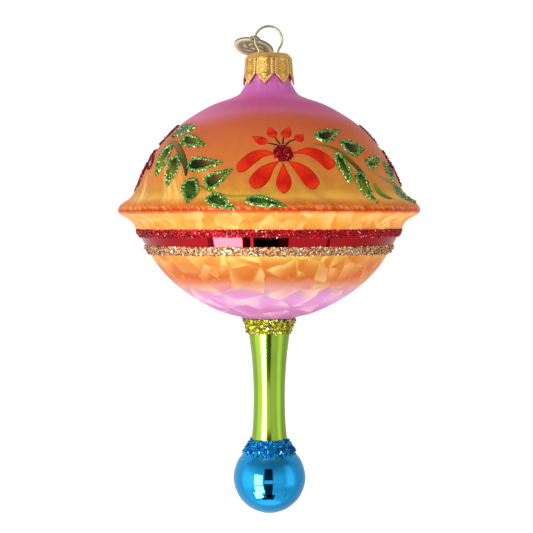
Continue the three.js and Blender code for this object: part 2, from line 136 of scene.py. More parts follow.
rough_profile = catmull(GLASS_OUTSIDE, 40, before=(0.34, -2.52))
profile = resample(rough_profile, np.linspace(0, lengths(rough_profile)[-1], 2400))
for _ in range(60):  # rounds off the joints between the measured points
    profile[1:-1] = 0.5 * profile[1:-1] + 0.25 * (profile[:-2] + profile[2:])
PROFILE_Z, PROFILE_R = profile[:, 0], np.maximum(profile[:, 1], 0)
ARC = lengths(profile)
slope_z, slope_r = np.gradient(PROFILE_Z, ARC), np.gradient(PROFILE_R, ARC)
slope = np.hypot(slope_z, slope_r)
NORMAL_R, NORMAL_Z = slope_z / slope, -slope_r / slope  # outward


def arc_at(z):
    return np.interp(z, PROFILE_Z, ARC)


def on_glass(azimuth, arc, lift=0.0):
    """Points that stand lift off the glass."""
    radius = np.interp(arc, ARC, PROFILE_R) + np.interp(arc, ARC, NORMAL_R) * lift
    z = np.interp(arc, ARC, PROFILE_Z) + np.interp(arc, ARC, NORMAL_Z) * lift
    return around(radius, np.radians(azimuth), z)


def outward(points):
    """Rough outward direction at points near the glass."""
    arc = arc_at(points[:, 2])
    radius = np.hypot(points[:, 0], points[:, 1])[:, None] + 1e-9
    level = points[:, :2] / radius * np.interp(arc, ARC, NORMAL_R)[:, None]
    return np.concatenate([level, np.interp(arc, ARC, NORMAL_Z)[:, None]], 1)


class Patch:
    """Flat millimetre coordinates that touch the glass at one place."""

    def __init__(self, azimuth, z):
        self.azimuth = azimuth
        self.arc = float(arc_at(z))
        self.radius = float(np.interp(self.arc, ARC, PROFILE_R))

    def flat(self, azimuth, z):
        x = np.radians(azimuth - self.azimuth) * self.radius
        return np.stack([x, arc_at(z) - self.arc], -1)

    def at(self, flat, lift):
        azimuth = self.azimuth + np.degrees(flat[..., 0] / self.radius)
        return on_glass(azimuth, self.arc + flat[..., 1], lift)


def lay_flat(points, turn):
    """(azimuth, z) points turned round the glass, as a patch at their middle and flat points."""
    points = np.reshape(points, (-1, 2)) + [turn, 0]
    patch = Patch(*points.mean(0))
    return patch, patch.flat(points[:, 0], points[:, 1])


# ------------------------------------------------------------------ shader nodes
def srgb(*rgb):
    """Linear colour from sRGB values of 0 to 255."""
    shares = [value / 255 for value in rgb]
    return tuple(
        share / 12.92 if share <= 0.04045 else ((share + 0.055) / 1.055) ** 2.4
        for share in shares
    ) + (1.0,)


def add_node(tree, kind, inputs=None, **settings):
    node = tree.nodes.new(kind)
    for name, value in settings.items():
        setattr(node, name, value)
    for key, value in (inputs or {}).items():
        if isinstance(value, Signal):
            tree.links.new(value.socket, node.inputs[key])
        else:
            node.inputs[key].default_value = value
    return node


def source(tree, kind, output, **settings):
    return Signal(tree, add_node(tree, kind, **settings).outputs[output])


def operator(operation, reflected=False):
    """A method that adds a math node. Reflected puts the signal second."""

    def apply(signal, *others):
        operands = (*others, signal) if reflected else (signal, *others)
        return signal.node("ShaderNodeMath", dict(enumerate(operands)), operation=operation)

    return apply


class Signal:
    """A shader output. Operators and methods add nodes that work on it."""

    __add__, __radd__ = operator("ADD"), operator("ADD", True)
    __sub__, __rsub__ = operator("SUBTRACT"), operator("SUBTRACT", True)
    __mul__, __rmul__ = operator("MULTIPLY"), operator("MULTIPLY", True)
    __truediv__, __pow__, __abs__ = map(operator, ("DIVIDE", "POWER", "ABSOLUTE"))
    minimum, maximum, floor, fraction = map(operator, ("MINIMUM", "MAXIMUM", "FLOOR", "FRACT"))
    above, below = operator("GREATER_THAN"), operator("LESS_THAN")
    arctan2, arcsine = operator("ARCTAN2"), operator("ARCSINE")

    def __init__(self, tree, socket):
        self.tree, self.socket = tree, socket

    def node(self, kind, inputs, output=0, **settings):
        return Signal(self.tree, add_node(self.tree, kind, inputs, **settings).outputs[output])

    def sibling(self, output):
        """Another output of the same node."""
        return Signal(self.tree, self.socket.node.outputs[output])

    def vector(self, operation, *others):
        operands = dict(enumerate((self, *others)))
        return self.node("ShaderNodeVectorMath", operands, operation=operation)

    def scaled(self, factor):
        inputs = {0: self, "Scale": factor}
        return self.node("ShaderNodeVectorMath", inputs, operation="SCALE")

    def xyz(self):
        x = self.node("ShaderNodeSeparateXYZ", {0: self})
        return x, x.sibling(1), x.sibling(2)

    def step(self, start, end, low=0.0, high=1.0, kind="SMOOTHSTEP"):
        """Runs from low at start to high at end, and holds outside."""
        inputs = dict(enumerate((self, start, end, low, high)))
        return self.node("ShaderNodeMapRange", inputs, interpolation_type=kind)

    def noise(self, scale, detail=2.0, rough=0.5, output="Fac"):
        inputs = {"Vector": self, "Scale": scale, "Detail": detail, "Roughness": rough}
        return self.node("ShaderNodeTexNoise", inputs, output)

    def streaks(self, across, along, detail=2.0, rough=0.6):
        """Noise with one density across (x, y) and another along z."""
        return self.vector("MULTIPLY", (across, across, along)).noise(1.0, detail, rough)

    def cells(self, scale, **settings):
        inputs = {"Vector": self, "Scale": scale}
        return self.node("ShaderNodeTexVoronoi", inputs, "Distance", **settings)

    def ramp(self, *stops):
        """Colour ramp through (position, sRGB) stops."""
        colour = self.node("ShaderNodeValToRGB", {0: self})
        elements = colour.socket.node.color_ramp.elements
        elements.remove(elements[1])
        for i, (place, rgb) in enumerate(stops):
            element = elements.new(place) if i else elements[0]
            element.position = place
            element.color = srgb(*rgb)
        return colour

    def ramp_by_z(self, stops, low, high):
        """Colour ramp through (z, sRGB) stops, for a signal that is a z."""
        share = self.step(low, high, kind="LINEAR")
        return share.ramp(*(((z - low) / (high - low), rgb) for z, rgb in stops))

    def mix(self, low, high):
        """Colour low where the signal is 0 and high where it is 1."""
        inputs = {"Factor": self, 6: low, 7: high}
        return self.node("ShaderNodeMix", inputs, 2, data_type="RGBA", blend_type="MIX")

    def shaded(self, tone):
        """The colour times a grey tone."""
        grey = self.node("ShaderNodeCombineColor", {0: tone, 1: tone, 2: tone})
        inputs = {"Factor": 1.0, 6: self, 7: grey}
        return self.node("ShaderNodeMix", inputs, 2, data_type="RGBA", blend_type="MULTIPLY")

    def bump(self, strength, distance):
        """Normal from the signal as a height, distance in metres."""
        inputs = {"Height": self, "Strength": strength, "Distance": distance}
        return self.node("ShaderNodeBump", inputs)


def position(tree):
    """Object coordinates in millimetres."""
    return source(tree, "ShaderNodeTexCoord", "Object").scaled(1 / MILLI)


def attribute(tree, name, output="Fac"):
    return source(tree, "ShaderNodeAttribute", output, attribute_name=name)


def new_material(name):
    material = bpy.data.materials.new(name)
    material.use_nodes = True
    material.node_tree.nodes.clear()
    return material, material.node_tree


def surface(tree, **inputs):
    inputs = {name.replace("_", " "): value for name, value in inputs.items()}
    shader = add_node(tree, "ShaderNodeBsdfPrincipled", inputs)
    output = tree.nodes.new("ShaderNodeOutputMaterial")
    tree.links.new(shader.outputs[0], output.inputs["Surface"])


# ------------------------------------------------------------------ lacquer and mirrors
SHOULDER_Z = 100.7  # where the bowl's lacquer meets the top's
TOP_Z = 152.0
BOWL_Z = 65.4

# (z, sRGB) upwards: deep orange rim, gold, orange, terracotta, pink neck
TOP_STOPS = [
    (SHOULDER_Z, (200, 60, 12)), (101.6, (168, 62, 6)), (103.4, (222, 129, 40)),
    (105.0, (241, 178, 73)), (107.4, (209, 142, 52)), (110.5, (209, 130, 52)),
    (114.0, (209, 126, 56)), (119.0, (208, 114, 51)), (124.5, (204, 106, 58)),
    (128.6, (202, 94, 51)), (131.0, (200, 93, 75)), (132.6, (204, 99, 124)),
    (134.6, (198, 83, 134)), (136.8, (201, 68, 137)), (138.4, (212, 99, 175)),
    (141.5, (202, 111, 178)), (147.0, (250, 124, 193)), (TOP_Z, (242, 122, 187)),
]
BOWL_STOPS = [
    (BOWL_Z, (168, 94, 142)), (68.5, (199, 116, 173)), (71.8, (217, 150, 199)),
    (73.4, (206, 145, 193)), (74.8, (200, 149, 164)), (76.2, (216, 155, 145)),
    (79.5, (192, 102, 25)), (83.0, (202, 127, 52)), (87.0, (224, 183, 85)),
    (93.0, (231, 148, 60)), (97.0, (233, 160, 67)), (100.0, (242, 172, 76)),
    (100.25, (236, 88, 28)), (SHOULDER_Z, (236, 84, 26)),
]
# Colour of the painted shade on the crystal blades of the bowl, where their tone is dark
BOWL_BLADE_SHADE_STOPS = [
    (BOWL_Z, (176, 84, 150)), (74.0, (214, 110, 176)), (77.0, (200, 78, 24)),
    (100.0, (226, 110, 20)),
]


def crystal(fan, size, turn, seed):
    """Ice-crystal blades: in each cell the tone runs smoothly round the nucleus and jumps back
    at sharp edges. The tone is painted sheen, the light and shade that each blade's fibres catch.
    Returns a tone about 0 and a random value of each cell."""
    warp = fan.vector("ADD", (seed, seed * 1.7, 0.0)).noise(0.09, output="Color")
    warp = warp.vector("SUBTRACT", (0.5, 0.5, 0.5)).scaled(size * 0.35)
    place = fan.vector("ADD", warp).vector("ADD", (seed * 3.1, seed * 5.3, 0.0))
    cell = place.cells(1.0 / size, voronoi_dimensions="2D")
    x, y, _ = place.vector("SUBTRACT", cell.sibling("Position")).xyz()
    colour = cell.sibling("Color")
    red, green = [colour.node("ShaderNodeSeparateColor", {0: colour}, i) for i in range(2)]
    angle = y.arctan2(x) / TAU
    blades = (turn + red * 3.0).floor()
    bend = (place.noise(0.22, detail=1.0) - 0.5) * 0.2
    saw = (angle * blades + green + bend + 8.0).fraction()
    reach = cell.step(0.0, 0.75, low=0.35)
    fall = 0.07  # share of a blade in which the tone drops back
    saw = (saw * (1 / (1 - fall))).minimum((1.0 - saw) * (1 / fall))
    border = place.cells(1.0 / size, voronoi_dimensions="2D", feature="DISTANCE_TO_EDGE")
    tone = (saw**1.25 - 0.44) * reach * border.step(0.0, 0.05, low=0.2)
    return tone, red


def lacquer_clouds(tree):
    streak = attribute(tree, "streak", "Vector")
    return streak, streak.streaks(0.9, 0.045, detail=3.0, rough=0.55) - 0.5


def lacquer_surface(tree, colour, rough, bump):
    surface(
        tree, Base_Color=colour, Metallic=0.06, Roughness=rough + 0.08, Specular_IOR_Level=0.05,
        Sheen_Weight=0.22, Sheen_Roughness=0.35, Sheen_Tint=srgb(255, 226, 236), Normal=bump,
    )


def lacquer_top():
    """Feathery frost climbing from the rim and hairlines down the dome."""
    material, tree = new_material("lacquer_top")
    place = position(tree)
    z = place.xyz()[2]
    x = place.xyz()[0]
    streak, clouds = lacquer_clouds(tree)
    slant = attribute(tree, "slant", "Vector")

    feathers = (slant.streaks(11.0, 0.10) - 0.42) * 5.0
    barbs = (slant.streaks(30.0, 0.30) - 0.5) * 5.0
    edge = 102.1 + feathers + barbs
    frost = z.step(edge + 0.7, edge - 0.3) * z.step(101.2, 102.0)
    hair = streak.streaks(34.0, 0.045, detail=3.0, rough=0.7)
    broad = slant.streaks(5.5, 0.035, rough=0.55)
    lines = (hair - 0.5) * 0.20 + (broad - 0.5) * z.step(122, 106, low=0.12, high=0.75)

    # the colour bands waver and rise towards the sides
    band_z = z + clouds * 2.2 + x * x * z.step(106.0, 124.0, high=0.0030)
    base = band_z.ramp_by_z(TOP_STOPS, SHOULDER_Z, TOP_Z)
    # painted sheen of the crystal blades: some lighter, some darker, strongest near the rim and
    # gone above z 128
    blades, _ = crystal(attribute(tree, "fan", "Vector"), size=15.0, turn=2.0, seed=4.0)
    colour = base.shaded(1.0 + lines + blades * z.step(128, 104, high=0.16))
    colour = (frost * 0.42).mix(colour, srgb(246, 136, 62))

    # light slanted streaks near the rim, strongest at -X; their extra strength there, on the lit
    # side, is painted highlight
    left = x.step(5.0, -34.0)
    wisps = slant.streaks(8.5, 0.035, detail=3.0).step(0.52, 0.70)
    wisps = wisps * z.step(102.6, 105.0) * z.step(121.0, 107.0) * (0.20 + left * 0.72)
    colour = wisps.mix(colour, srgb(250, 204, 116))
    # painted sheen: a paler pink patch on the lit -X side of the dome, below the neck
    lit_side_sheen = x.step(-3.0, -24.0) * band_z.step(126.5, 133.0) * z.step(139.0, 134.0)
    colour = (lit_side_sheen * 0.32).mix(colour, srgb(230, 146, 196))
    teeth = slant.streaks(27.0, 0.25).step(0.46, 0.60)
    teeth = teeth * z.step(100.9, 101.3) * z.step(102.9, 101.8) * 0.42
    colour = teeth.mix(colour, srgb(255, 176, 100))
    scratches = slant.streaks(16.0, 0.10).step(0.55, 0.68) * z.step(139.5, 142.5) * 0.75
    colour = scratches.mix(colour, srgb(238, 170, 218))

    height = hair * 0.35 + broad * 0.6 + frost * 0.5
    bump = height.bump(strength=0.35, distance=0.0001)
    lacquer_surface(tree, colour, 0.36 + hair * 0.10 + frost * 0.12, bump)
    return material


def lacquer_bowl():
    """Large and small ice crystals in pink below and gold above."""
    material, tree = new_material("lacquer_bowl")
    place = position(tree)
    z = place.xyz()[2]
    _, clouds = lacquer_clouds(tree)
    fan = attribute(tree, "fan", "Vector")
    large, cell_value = crystal(fan, size=15.0, turn=3.0, seed=1.0)
    small, _ = crystal(fan, size=8.5, turn=2.0, seed=2.0)
    pick = fan.noise(0.075, detail=1.0).step(0.46, 0.56)
    tone = large * (1.0 - pick * 0.55) + small * (pick * 0.75)
    soft = z.step(66.0, 72.0, low=0.25)

    # the wavering bands stay below the orange rim, which keeps a level edge
    band_z = z + tone * 4.0 + clouds * 1.0
    band_z = band_z.minimum(99.97 + z.step(100.0, 100.35) * 0.9)
    base = band_z.ramp_by_z(BOWL_STOPS, BOWL_Z, SHOULDER_Z)
    base = z.step(100.0, 100.3).mix(base, srgb(236, 88, 28))
    # The blade tone is painted sheen: light blades turn pale gold, or pale pink low down, and dark
    # ones take the painted shade colour.
    light = (tone * soft).maximum(0.0)
    dark = (tone * (soft * -1.0)).maximum(0.0)
    colour = (light * 0.75).mix(base, srgb(255, 226, 160))
    pale = (light * z.step(78.0, 73.0) * 0.6).minimum(1.0)
    colour = pale.mix(colour, srgb(255, 226, 246))
    deep = z.ramp_by_z(BOWL_BLADE_SHADE_STOPS, BOWL_Z, SHOULDER_Z)
    colour = (dark * 1.0).minimum(0.9).mix(colour, deep)

    # dark specks. thinning is how far the second cells thin them out, here not at all
    thinning = 0.0
    gaps = place.cells(0.12).above(2.0)
    specks = place.cells(0.16).below(0.045)
    colour = (specks * 0.8 * (1.0 - gaps * thinning)).mix(colour, srgb(90, 40, 40))
    # painted shade: deeper orange towards ±X, where the bowl turns away from the front
    sides = abs(place.xyz()[0]).step(11.0, 29.0) * z.step(75.0, 79.0) * z.step(90.0, 86.0)
    colour = (sides * 0.38).mix(colour, srgb(216, 92, 34))
    bump = (tone * soft).bump(strength=0.25, distance=0.00035)
    lacquer_surface(tree, colour, 0.36 + cell_value * 0.08, bump)
    return material


def mirror(name, rgb, rough, coat, wave):
    """Clear lacquer over silvered glass. wave is the strength of the slow dents."""
    material, tree = new_material(name)
    place = position(tree)
    red, green, blue, _ = srgb(*rgb)
    dark = tuple(value * 0.9 for value in (red, green, blue)) + (1.0,)
    light = tuple(min(1, value * 1.1) for value in (red, green, blue)) + (1.0,)
    dust = place.noise(2.4, detail=3.0, rough=0.7).step(0.62, 0.75)
    height = place.noise(0.10, detail=1.0) * 1.0 + place.noise(0.5, detail=1.0) * 0.06
    surface(
        tree, Base_Color=place.noise(0.06).mix(dark, light), Metallic=1.0,
        Roughness=rough + dust * 0.05, Coat_Weight=coat, Coat_Roughness=0.02,
        Normal=height.bump(strength=wave, distance=0.0006),
    )
    return material


def sparkle(name, rgb, rough, metallic, coat):
    material, tree = new_material(name)
    surface(
        tree, Base_Color=srgb(*rgb), Metallic=metallic, Roughness=rough, Coat_Weight=coat,
        Coat_Roughness=0.08,
    )
    return material


def adhesive(name, rgb):
    """The glue that shows between the flakes, darkened partly as painted shade between them."""
    return sparkle(f"{name}_0", rgb, rough=0.45, metallic=0.3, coat=0.05)


# ------------------------------------------------------------------ meshes
def build(
    name, verts, faces, materials, index=None, smooth=True, body="vessel",
    replaces=False, sharp=None, attributes=None, weld=None,
):
    """A mesh object from millimetre points. faces is a list of arrays or lists of faces. With
    replaces, it stands in for the CAD piece of that name and its own name gets "_finish"."""
    piece = name
    if replaces:
        name += "_finish"
    mesh = bpy.data.meshes.new(name)
    rows = []
    for group in faces:
        rows += group.tolist() if isinstance(group, np.ndarray) else group
    mesh.from_pydata((np.asarray(verts, float) * MILLI).tolist(), [], rows)
    for material in materials:
        mesh.materials.append(material)
    if index is not None:
        mesh.polygons.foreach_set("material_index", np.asarray(index, np.int32))
    mesh.polygons.foreach_set("use_smooth", np.full(len(mesh.polygons), smooth))
    for key, values in (attributes or {}).items():
        values = np.asarray(values, np.float32)
        kind, field = ("FLOAT_VECTOR", "vector") if values.ndim == 2 else ("FLOAT", "value")
        mesh.attributes.new(key, kind, "POINT").data.foreach_set(field, values.ravel())
    if weld is not None:
        work = bmesh.new()
        work.from_mesh(mesh)
        bmesh.ops.remove_doubles(work, verts=work.verts, dist=weld * MILLI)
        bmesh.ops.recalc_face_normals(work, faces=work.faces)
        work.to_mesh(mesh)
        work.free()
    mesh.update()
    if sharp is not None:
        mesh.set_sharp_from_angle(angle=math.radians(sharp))
    item = bpy.data.objects.new(name, mesh)
    scene.collection.objects.link(item)
    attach(item, body)
    if replaces:
        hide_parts(piece)
    made.append(item)


def grid_quads(rows, columns, wrap_rows=False, wrap_columns=False, across=False):
    """Quads of a grid of vertices. Each runs down the rows first, or across the columns."""
    ids = np.arange(rows * columns).reshape(rows, columns)
    if wrap_rows:
        ids = np.vstack([ids, ids[:1]])
    if wrap_columns:
        ids = np.hstack([ids, ids[:, :1]])
    corners = [ids[:-1, :-1], ids[1:, :-1], ids[1:, 1:], ids[:-1, 1:]]
    if across:
        corners[1], corners[3] = corners[3], corners[1]
    return np.stack(corners, -1).reshape(-1, 4)


def ridge(distance, width, height):
    """Rounded relief, highest where the distance is 0."""
    return height * np.exp(-((distance / width) ** 2))


def loop_edges(start, count):
    return [(start + i, start + (i + 1) % count) for i in range(count)]


def triangulate(points, edges, tolerance):
    """Points and anticlockwise triangles inside the outermost edges."""
    vectors = [Vector(point) for point in points.tolist()]
    points, _, faces, *_ = delaunay_2d_cdt(vectors, edges, [], 1, tolerance)
    points, faces = np.array([list(point) for point in points]), np.array(faces)
    a, b, c = points[faces].transpose(1, 2, 0)[:, :, :] if False else (
        points[faces[:, 0]].T, points[faces[:, 1]].T, points[faces[:, 2]].T
    )
    area = (b[0] - a[0]) * (c[1] - a[1]) - (b[1] - a[1]) * (c[0] - a[0])
    return points, np.where((area > 0)[:, None], faces, faces[:, ::-1])


# ------------------------------------------------------------------ glass vessel
COLUMNS, OUTSIDE_ROWS, INSIDE_ROWS = 240, 300, 84
RED, GREEN, BLUE, ADHESIVE, SILVER = 2, 3, 4, 5, 6  # material places after the lacquers
# (z where the zone starts, material place), above the blue tip
ZONES = [
    (20.9, ADHESIVE), (25.0, GREEN), (62.0, ADHESIVE), (65.35, 1), (88.3, RED), (93.8, 1),
    (SHOULDER_Z, 0),
]


def vessel_rows():
    """z, radius and arc of each ring of vertices: outside, lip, inside."""
    # rows crowd where the profile bends
    bend = np.hypot(np.gradient(NORMAL_R, ARC), np.gradient(NORMAL_Z, ARC))
    weight = 1 + 9.0 * np.minimum(bend, 0.6)
    total = np.concatenate([[0], np.cumsum(0.5 * (weight[1:] + weight[:-1]) * np.diff(ARC))])
    arc = np.interp(np.linspace(0, total[-1], OUTSIDE_ROWS), total, ARC)
    for z, _ in ZONES:  # a row on each border
        border = float(arc_at(z))
        arc[np.argmin(np.abs(arc - border))] = border
    arc = arc[1:]
    outer = np.stack([np.interp(arc, ARC, PROFILE_Z), np.interp(arc, ARC, PROFILE_R)], 1)
    inner = catmull(GLASS_INSIDE, 12)
    inner = resample(inner, np.linspace(0, lengths(inner)[-1], INSIDE_ROWS))[:-1]
    z, radius = np.vstack([outer, GLASS_LIP, inner]).T
    return z, radius, np.concatenate([arc, [ARC[-1]] * (len(GLASS_LIP) + len(inner))])


def vessel():
    z, radius, arc = vessel_rows()
    rows, outside = len(z), OUTSIDE_ROWS - 1
    angle = np.radians(np.arange(COLUMNS) * 360.0 / COLUMNS + 180.0)

    # hand-blown waver, a few hundredths of a millimetre, on the outside only
    rng = np.random.default_rng(11)
    wave = np.zeros((rows, COLUMNS))
    for _ in range(14):
        lobes = rng.integers(1, 6)
        swing = rng.normal(0, 0.011) * np.cos(lobes * angle[None, :] + rng.uniform(0, TAU))
        wave += swing * np.cos(z[:, None] * rng.uniform(0.05, 0.28) + rng.uniform(0, TAU))
    wave *= (np.minimum(1, radius / 6.0) * (np.arange(rows) < outside))[:, None]
    wave *= np.clip((150.0 - z) / 8.0, 0, 1)[:, None]

    poles = [[0, 0, 0], [0, 0, GLASS_INSIDE[-1][0]]]
    grid = around(radius[:, None] + wave, angle, z[:, None])
    verts = np.vstack([grid.reshape(-1, 3), poles])
    pole = rows * COLUMNS
    column = np.arange(COLUMNS)
    after = (column + 1) % COLUMNS
    first = np.stack([after, column, np.full(COLUMNS, pole)], 1)
    last_row = pole - COLUMNS
    last = np.stack([last_row + column, last_row + after, np.full(COLUMNS, pole + 1)], 1)

    zone = np.full(rows - 1, BLUE)
    for start, place in ZONES:
        zone[0.5 * (arc[:-1] + arc[1:]) >= float(arc_at(start))] = place
    zone[outside - 1 :] = SILVER
    tips = [np.full(COLUMNS, BLUE), np.full(COLUMNS, SILVER)]
    index = np.concatenate([np.repeat(zone, COLUMNS), *tips])

    # coordinates for the patterns: fan spreads from each lacquer's pole, streak runs down
    # the glass and slant winds round it
    bowl = arc < float(arc_at(SHOULDER_Z))
    reach = np.where(bowl, (arc - float(arc_at(65.3))) * 0.86 + 6.0, (ARC[-1] - arc) * 0.86 + 2.0)
    wound = angle + np.radians(arc[:, None] * 0.9)
    patterns = {
        "fan": around(reach[:, None], angle, np.where(bowl, 0.0, 50.0)[:, None]),
        "streak": around(1.0, angle, arc[:, None]),
        "slant": around(1.0, wound, arc[:, None]),
    }
    at_poles = np.zeros((2, 3))
    materials = [
        lacquer_top(),
        lacquer_bowl(),
        mirror("mirror_red", (206, 37, 44), rough=0.02, coat=0.03, wave=0.02),
        mirror("mirror_green", (162, 202, 68), rough=0.14, coat=0.12, wave=0.03),
        mirror("mirror_blue", (42, 176, 253), rough=0.02, coat=0.04, wave=0.02),
        adhesive("glitter_adhesive", (60, 44, 20)),
        mirror("silvering", (205, 205, 200), rough=0.18, coat=0.0, wave=0.6),
    ]
    build(
        "glass_vessel", verts,
        [grid_quads(rows, COLUMNS, wrap_columns=True, across=True), first, last],
        materials, index, replaces=True,
        attributes={
            key: np.vstack([values.reshape(-1, 3), at_poles]) for key, values in patterns.items()
        },
    )


vessel()


# ------------------------------------------------------------------ glitter
# Adhesive sRGB, then the flakes: (share, sRGB, roughness). Keys are also slot names. The adhesive
# and the darkest flakes are partly painted shade between the grains, and the near-white flakes are
# painted sparkles.
GLITTER_COLOURS = {
    "glitter_red": ((84, 0, 10), [
        (38, (200, 2, 24), 0.26), (26, (222, 8, 34), 0.26), (27, (112, 0, 12), 0.3),
        (5, (234, 48, 74), 0.2), (3, (255, 196, 206), 0.2)]),
    "glitter_gold": ((92, 52, 22), [
        (34, (222, 152, 92), 0.26), (22, (246, 192, 136), 0.24), (24, (144, 84, 42), 0.3),
        (14, (255, 250, 238), 0.2), (2, (214, 196, 62), 0.2), (1, (130, 168, 78), 0.2),
        (3, (206, 112, 50), 0.2)]),
    "glitter_chartreuse": ((96, 88, 10), [
        (34, (206, 206, 46), 0.22), (26, (176, 172, 28), 0.24), (22, (124, 114, 14), 0.28),
        (9, (236, 240, 120), 0.2), (6, (255, 255, 236), 0.24), (2, (204, 142, 62), 0.2)]),
    "glitter_blue": ((0, 64, 120), [
        (38, (0, 148, 222), 0.22), (28, (10, 170, 238), 0.24), (20, (0, 88, 160), 0.28),
        (8, (60, 204, 240), 0.2), (2, (120, 222, 250), 0.2)]),
    "glitter_leaf_green": ((44, 74, 20), [
        (36, (130, 190, 84), 0.26), (26, (166, 216, 116), 0.26), (20, (78, 128, 44), 0.3),
        (9, (214, 240, 170), 0.24), (5, (252, 255, 236), 0.2)]),
    "glitter_burgundy": ((66, 2, 14), [
        (36, (136, 8, 32), 0.22), (28, (172, 18, 46), 0.24), (20, (88, 0, 16), 0.28),
        (8, (214, 84, 104), 0.2), (4, (244, 196, 204), 0.2)]),
    "glitter_crimson": ((88, 0, 10), [
        (40, (182, 0, 22), 0.22), (28, (212, 6, 32), 0.24), (22, (116, 0, 12), 0.28),
        (5, (244, 110, 134), 0.2)]),
}
GLITTER = {}  # shares of the flakes and the materials, adhesive first
for glitter_name, (glue, flakes) in GLITTER_COLOURS.items():
    glitter_materials = [adhesive(glitter_name, glue)] + [
        sparkle(f"{glitter_name}_{i}", rgb, rough, metallic=0.8, coat=0.15)
        for i, (_, rgb, rough) in enumerate(flakes, 1)
    ]
    GLITTER[glitter_name] = np.array([flake[0] for flake in flakes], float), glitter_materials


def glitter(piece, verts, quads, plated, kind, seed, tilt, lift=(0.01, 0.07), rim=None):
    """One closed skin: on each plated quad stands a small tilted plate, joined to the skin by
    its side walls. rim is one more face that closes the underside."""
    rng = np.random.default_rng(seed)
    verts = verts.reshape(-1, 3)

    def plated_cells():
        corners = verts[quads[plated]]
        cross = np.cross(corners[:, 2] - corners[:, 0], corners[:, 3] - corners[:, 1])
        return corners, cross

    corners, normal = plated_cells()
    centre = corners.mean(1)
    flip = (np.einsum("ij,ij->i", normal, outward(centre)) < 0).mean() > 0.5
    if flip:  # the whole skin is wound the other way
        quads = quads[:, ::-1].copy()
        corners, normal = plated_cells()
    cells = quads[plated]
    count = len(cells)
    normal /= np.linalg.norm(normal, axis=1, keepdims=True) + 1e-12

    # turned and resized in its own plane
    plate = corners - centre[:, None]
    turn = rng.uniform(-0.75, 0.75, count)[:, None, None]
    plate = plate * np.cos(turn) + np.cross(normal[:, None], plate) * np.sin(turn)
    plate *= rng.uniform(0.95, 1.3, count)[:, None, None]

    # tilted about a random direction
    diagonal = corners[:, 2] - corners[:, 0]
    diagonal /= np.linalg.norm(diagonal, axis=1, keepdims=True) + 1e-12
    heading = rng.uniform(0, TAU, count)[:, None]
    uphill = diagonal * np.cos(heading) + np.cross(normal, diagonal) * np.sin(heading)
    steepness = np.clip(np.abs(rng.normal(0, tilt, count)), 0, 1.5)
    rise = np.einsum("kij,kj->ki", plate, uphill) * steepness[:, None]
    rise = rise - rise.min(1, keepdims=True) + rng.uniform(*lift, count)[:, None]
    tops = centre[:, None] + plate + normal[:, None] * rise[..., None]

    plates = np.arange(4 * count).reshape(count, 4) + len(verts)
    sides = []
    for i in range(4):
        j = (i + 1) % 4
        sides.append(np.stack([cells[:, i], cells[:, j], plates[:, j], plates[:, i]], 1))
    shares, materials = GLITTER[kind]
    flake = rng.choice(len(shares), count, p=shares / shares.sum()) + 1
    side_flake = np.where(rng.random(4 * count) < 0.5, np.tile(flake, 4), 0)
    rest = quads[~plated]
    faces = [rest, plates, np.concatenate(sides)]
    index = [np.zeros(len(rest), int), flake, side_flake]
    if rim:
        faces.append([rim[::-1] if flip else rim])
        index.append([0])
    build(
        piece, np.vstack([verts, tops.reshape(-1, 3)]), faces, materials,
        np.concatenate(index), smooth=False, replaces=True,
    )


def glitter_rope(piece, verts, kind, seed, **settings):
    """Glitter on a closed grid (round the rope, across it). The closing strip below is bare."""
    count, across = verts.shape[:2]
    plated = np.tile(np.arange(across) < across - 1, count)
    quads = grid_quads(count, across, wrap_rows=True, wrap_columns=True)
    glitter(piece, verts, quads, plated, kind, seed, **settings)


def ring_trim(
    piece, low_z, high_z, proud, cell, kind, seed, ragged, tilt, sag_swing=0.0, sag_mean=0.0
):
    """A glitter ring round the glass with ragged edges. Its lower edge may sag unevenly."""
    rng = np.random.default_rng(seed)
    low, high = float(arc_at(low_z)), float(arc_at(high_z))
    radius = float(np.interp(0.5 * (low + high), ARC, PROFILE_R))
    count = int(round(TAU * radius / cell))
    strips = max(4, int(round((high - low + 0.5 * proud) / cell)))
    azimuth = np.arange(count) * 360.0 / count
    share = np.linspace(0, 1, strips + 1)
    edge = rng.normal(0, ragged, (count, 2))
    slow = np.zeros(count)
    for waves in (2, 3, 5, 8, 13):
        swing = rng.normal(0, 0.10)
        slow += swing * np.cos(np.radians(azimuth) * waves + rng.uniform(0, TAU))
    sag = sag_swing * np.cos(np.radians(azimuth + 12)) + sag_mean
    lower = low + edge[:, 0] + slow * (ragged / 0.22) - sag
    upper = high + edge[:, 1] * 0.8
    arc = lower[:, None] + (upper - lower)[:, None] * share[None, :]
    arc[:, 1:-1] += rng.normal(0, 0.24 * cell, (count, strips - 1))
    azimuth = azimuth[:, None] + rng.normal(0, 0.24, (count, strips + 1)) * 360.0 / count
    crown = (1 - np.abs(2 * share[None, :] - 1) ** 3.0) ** 0.6
    lift = 0.02 + proud * 0.62 * crown * rng.uniform(0.75, 1.1, (count, strips + 1))
    lift[:, 0] = lift[:, -1] = 0.02
    glitter_rope(piece, on_glass(azimuth, arc, lift), kind, seed + 100, tilt=tilt)


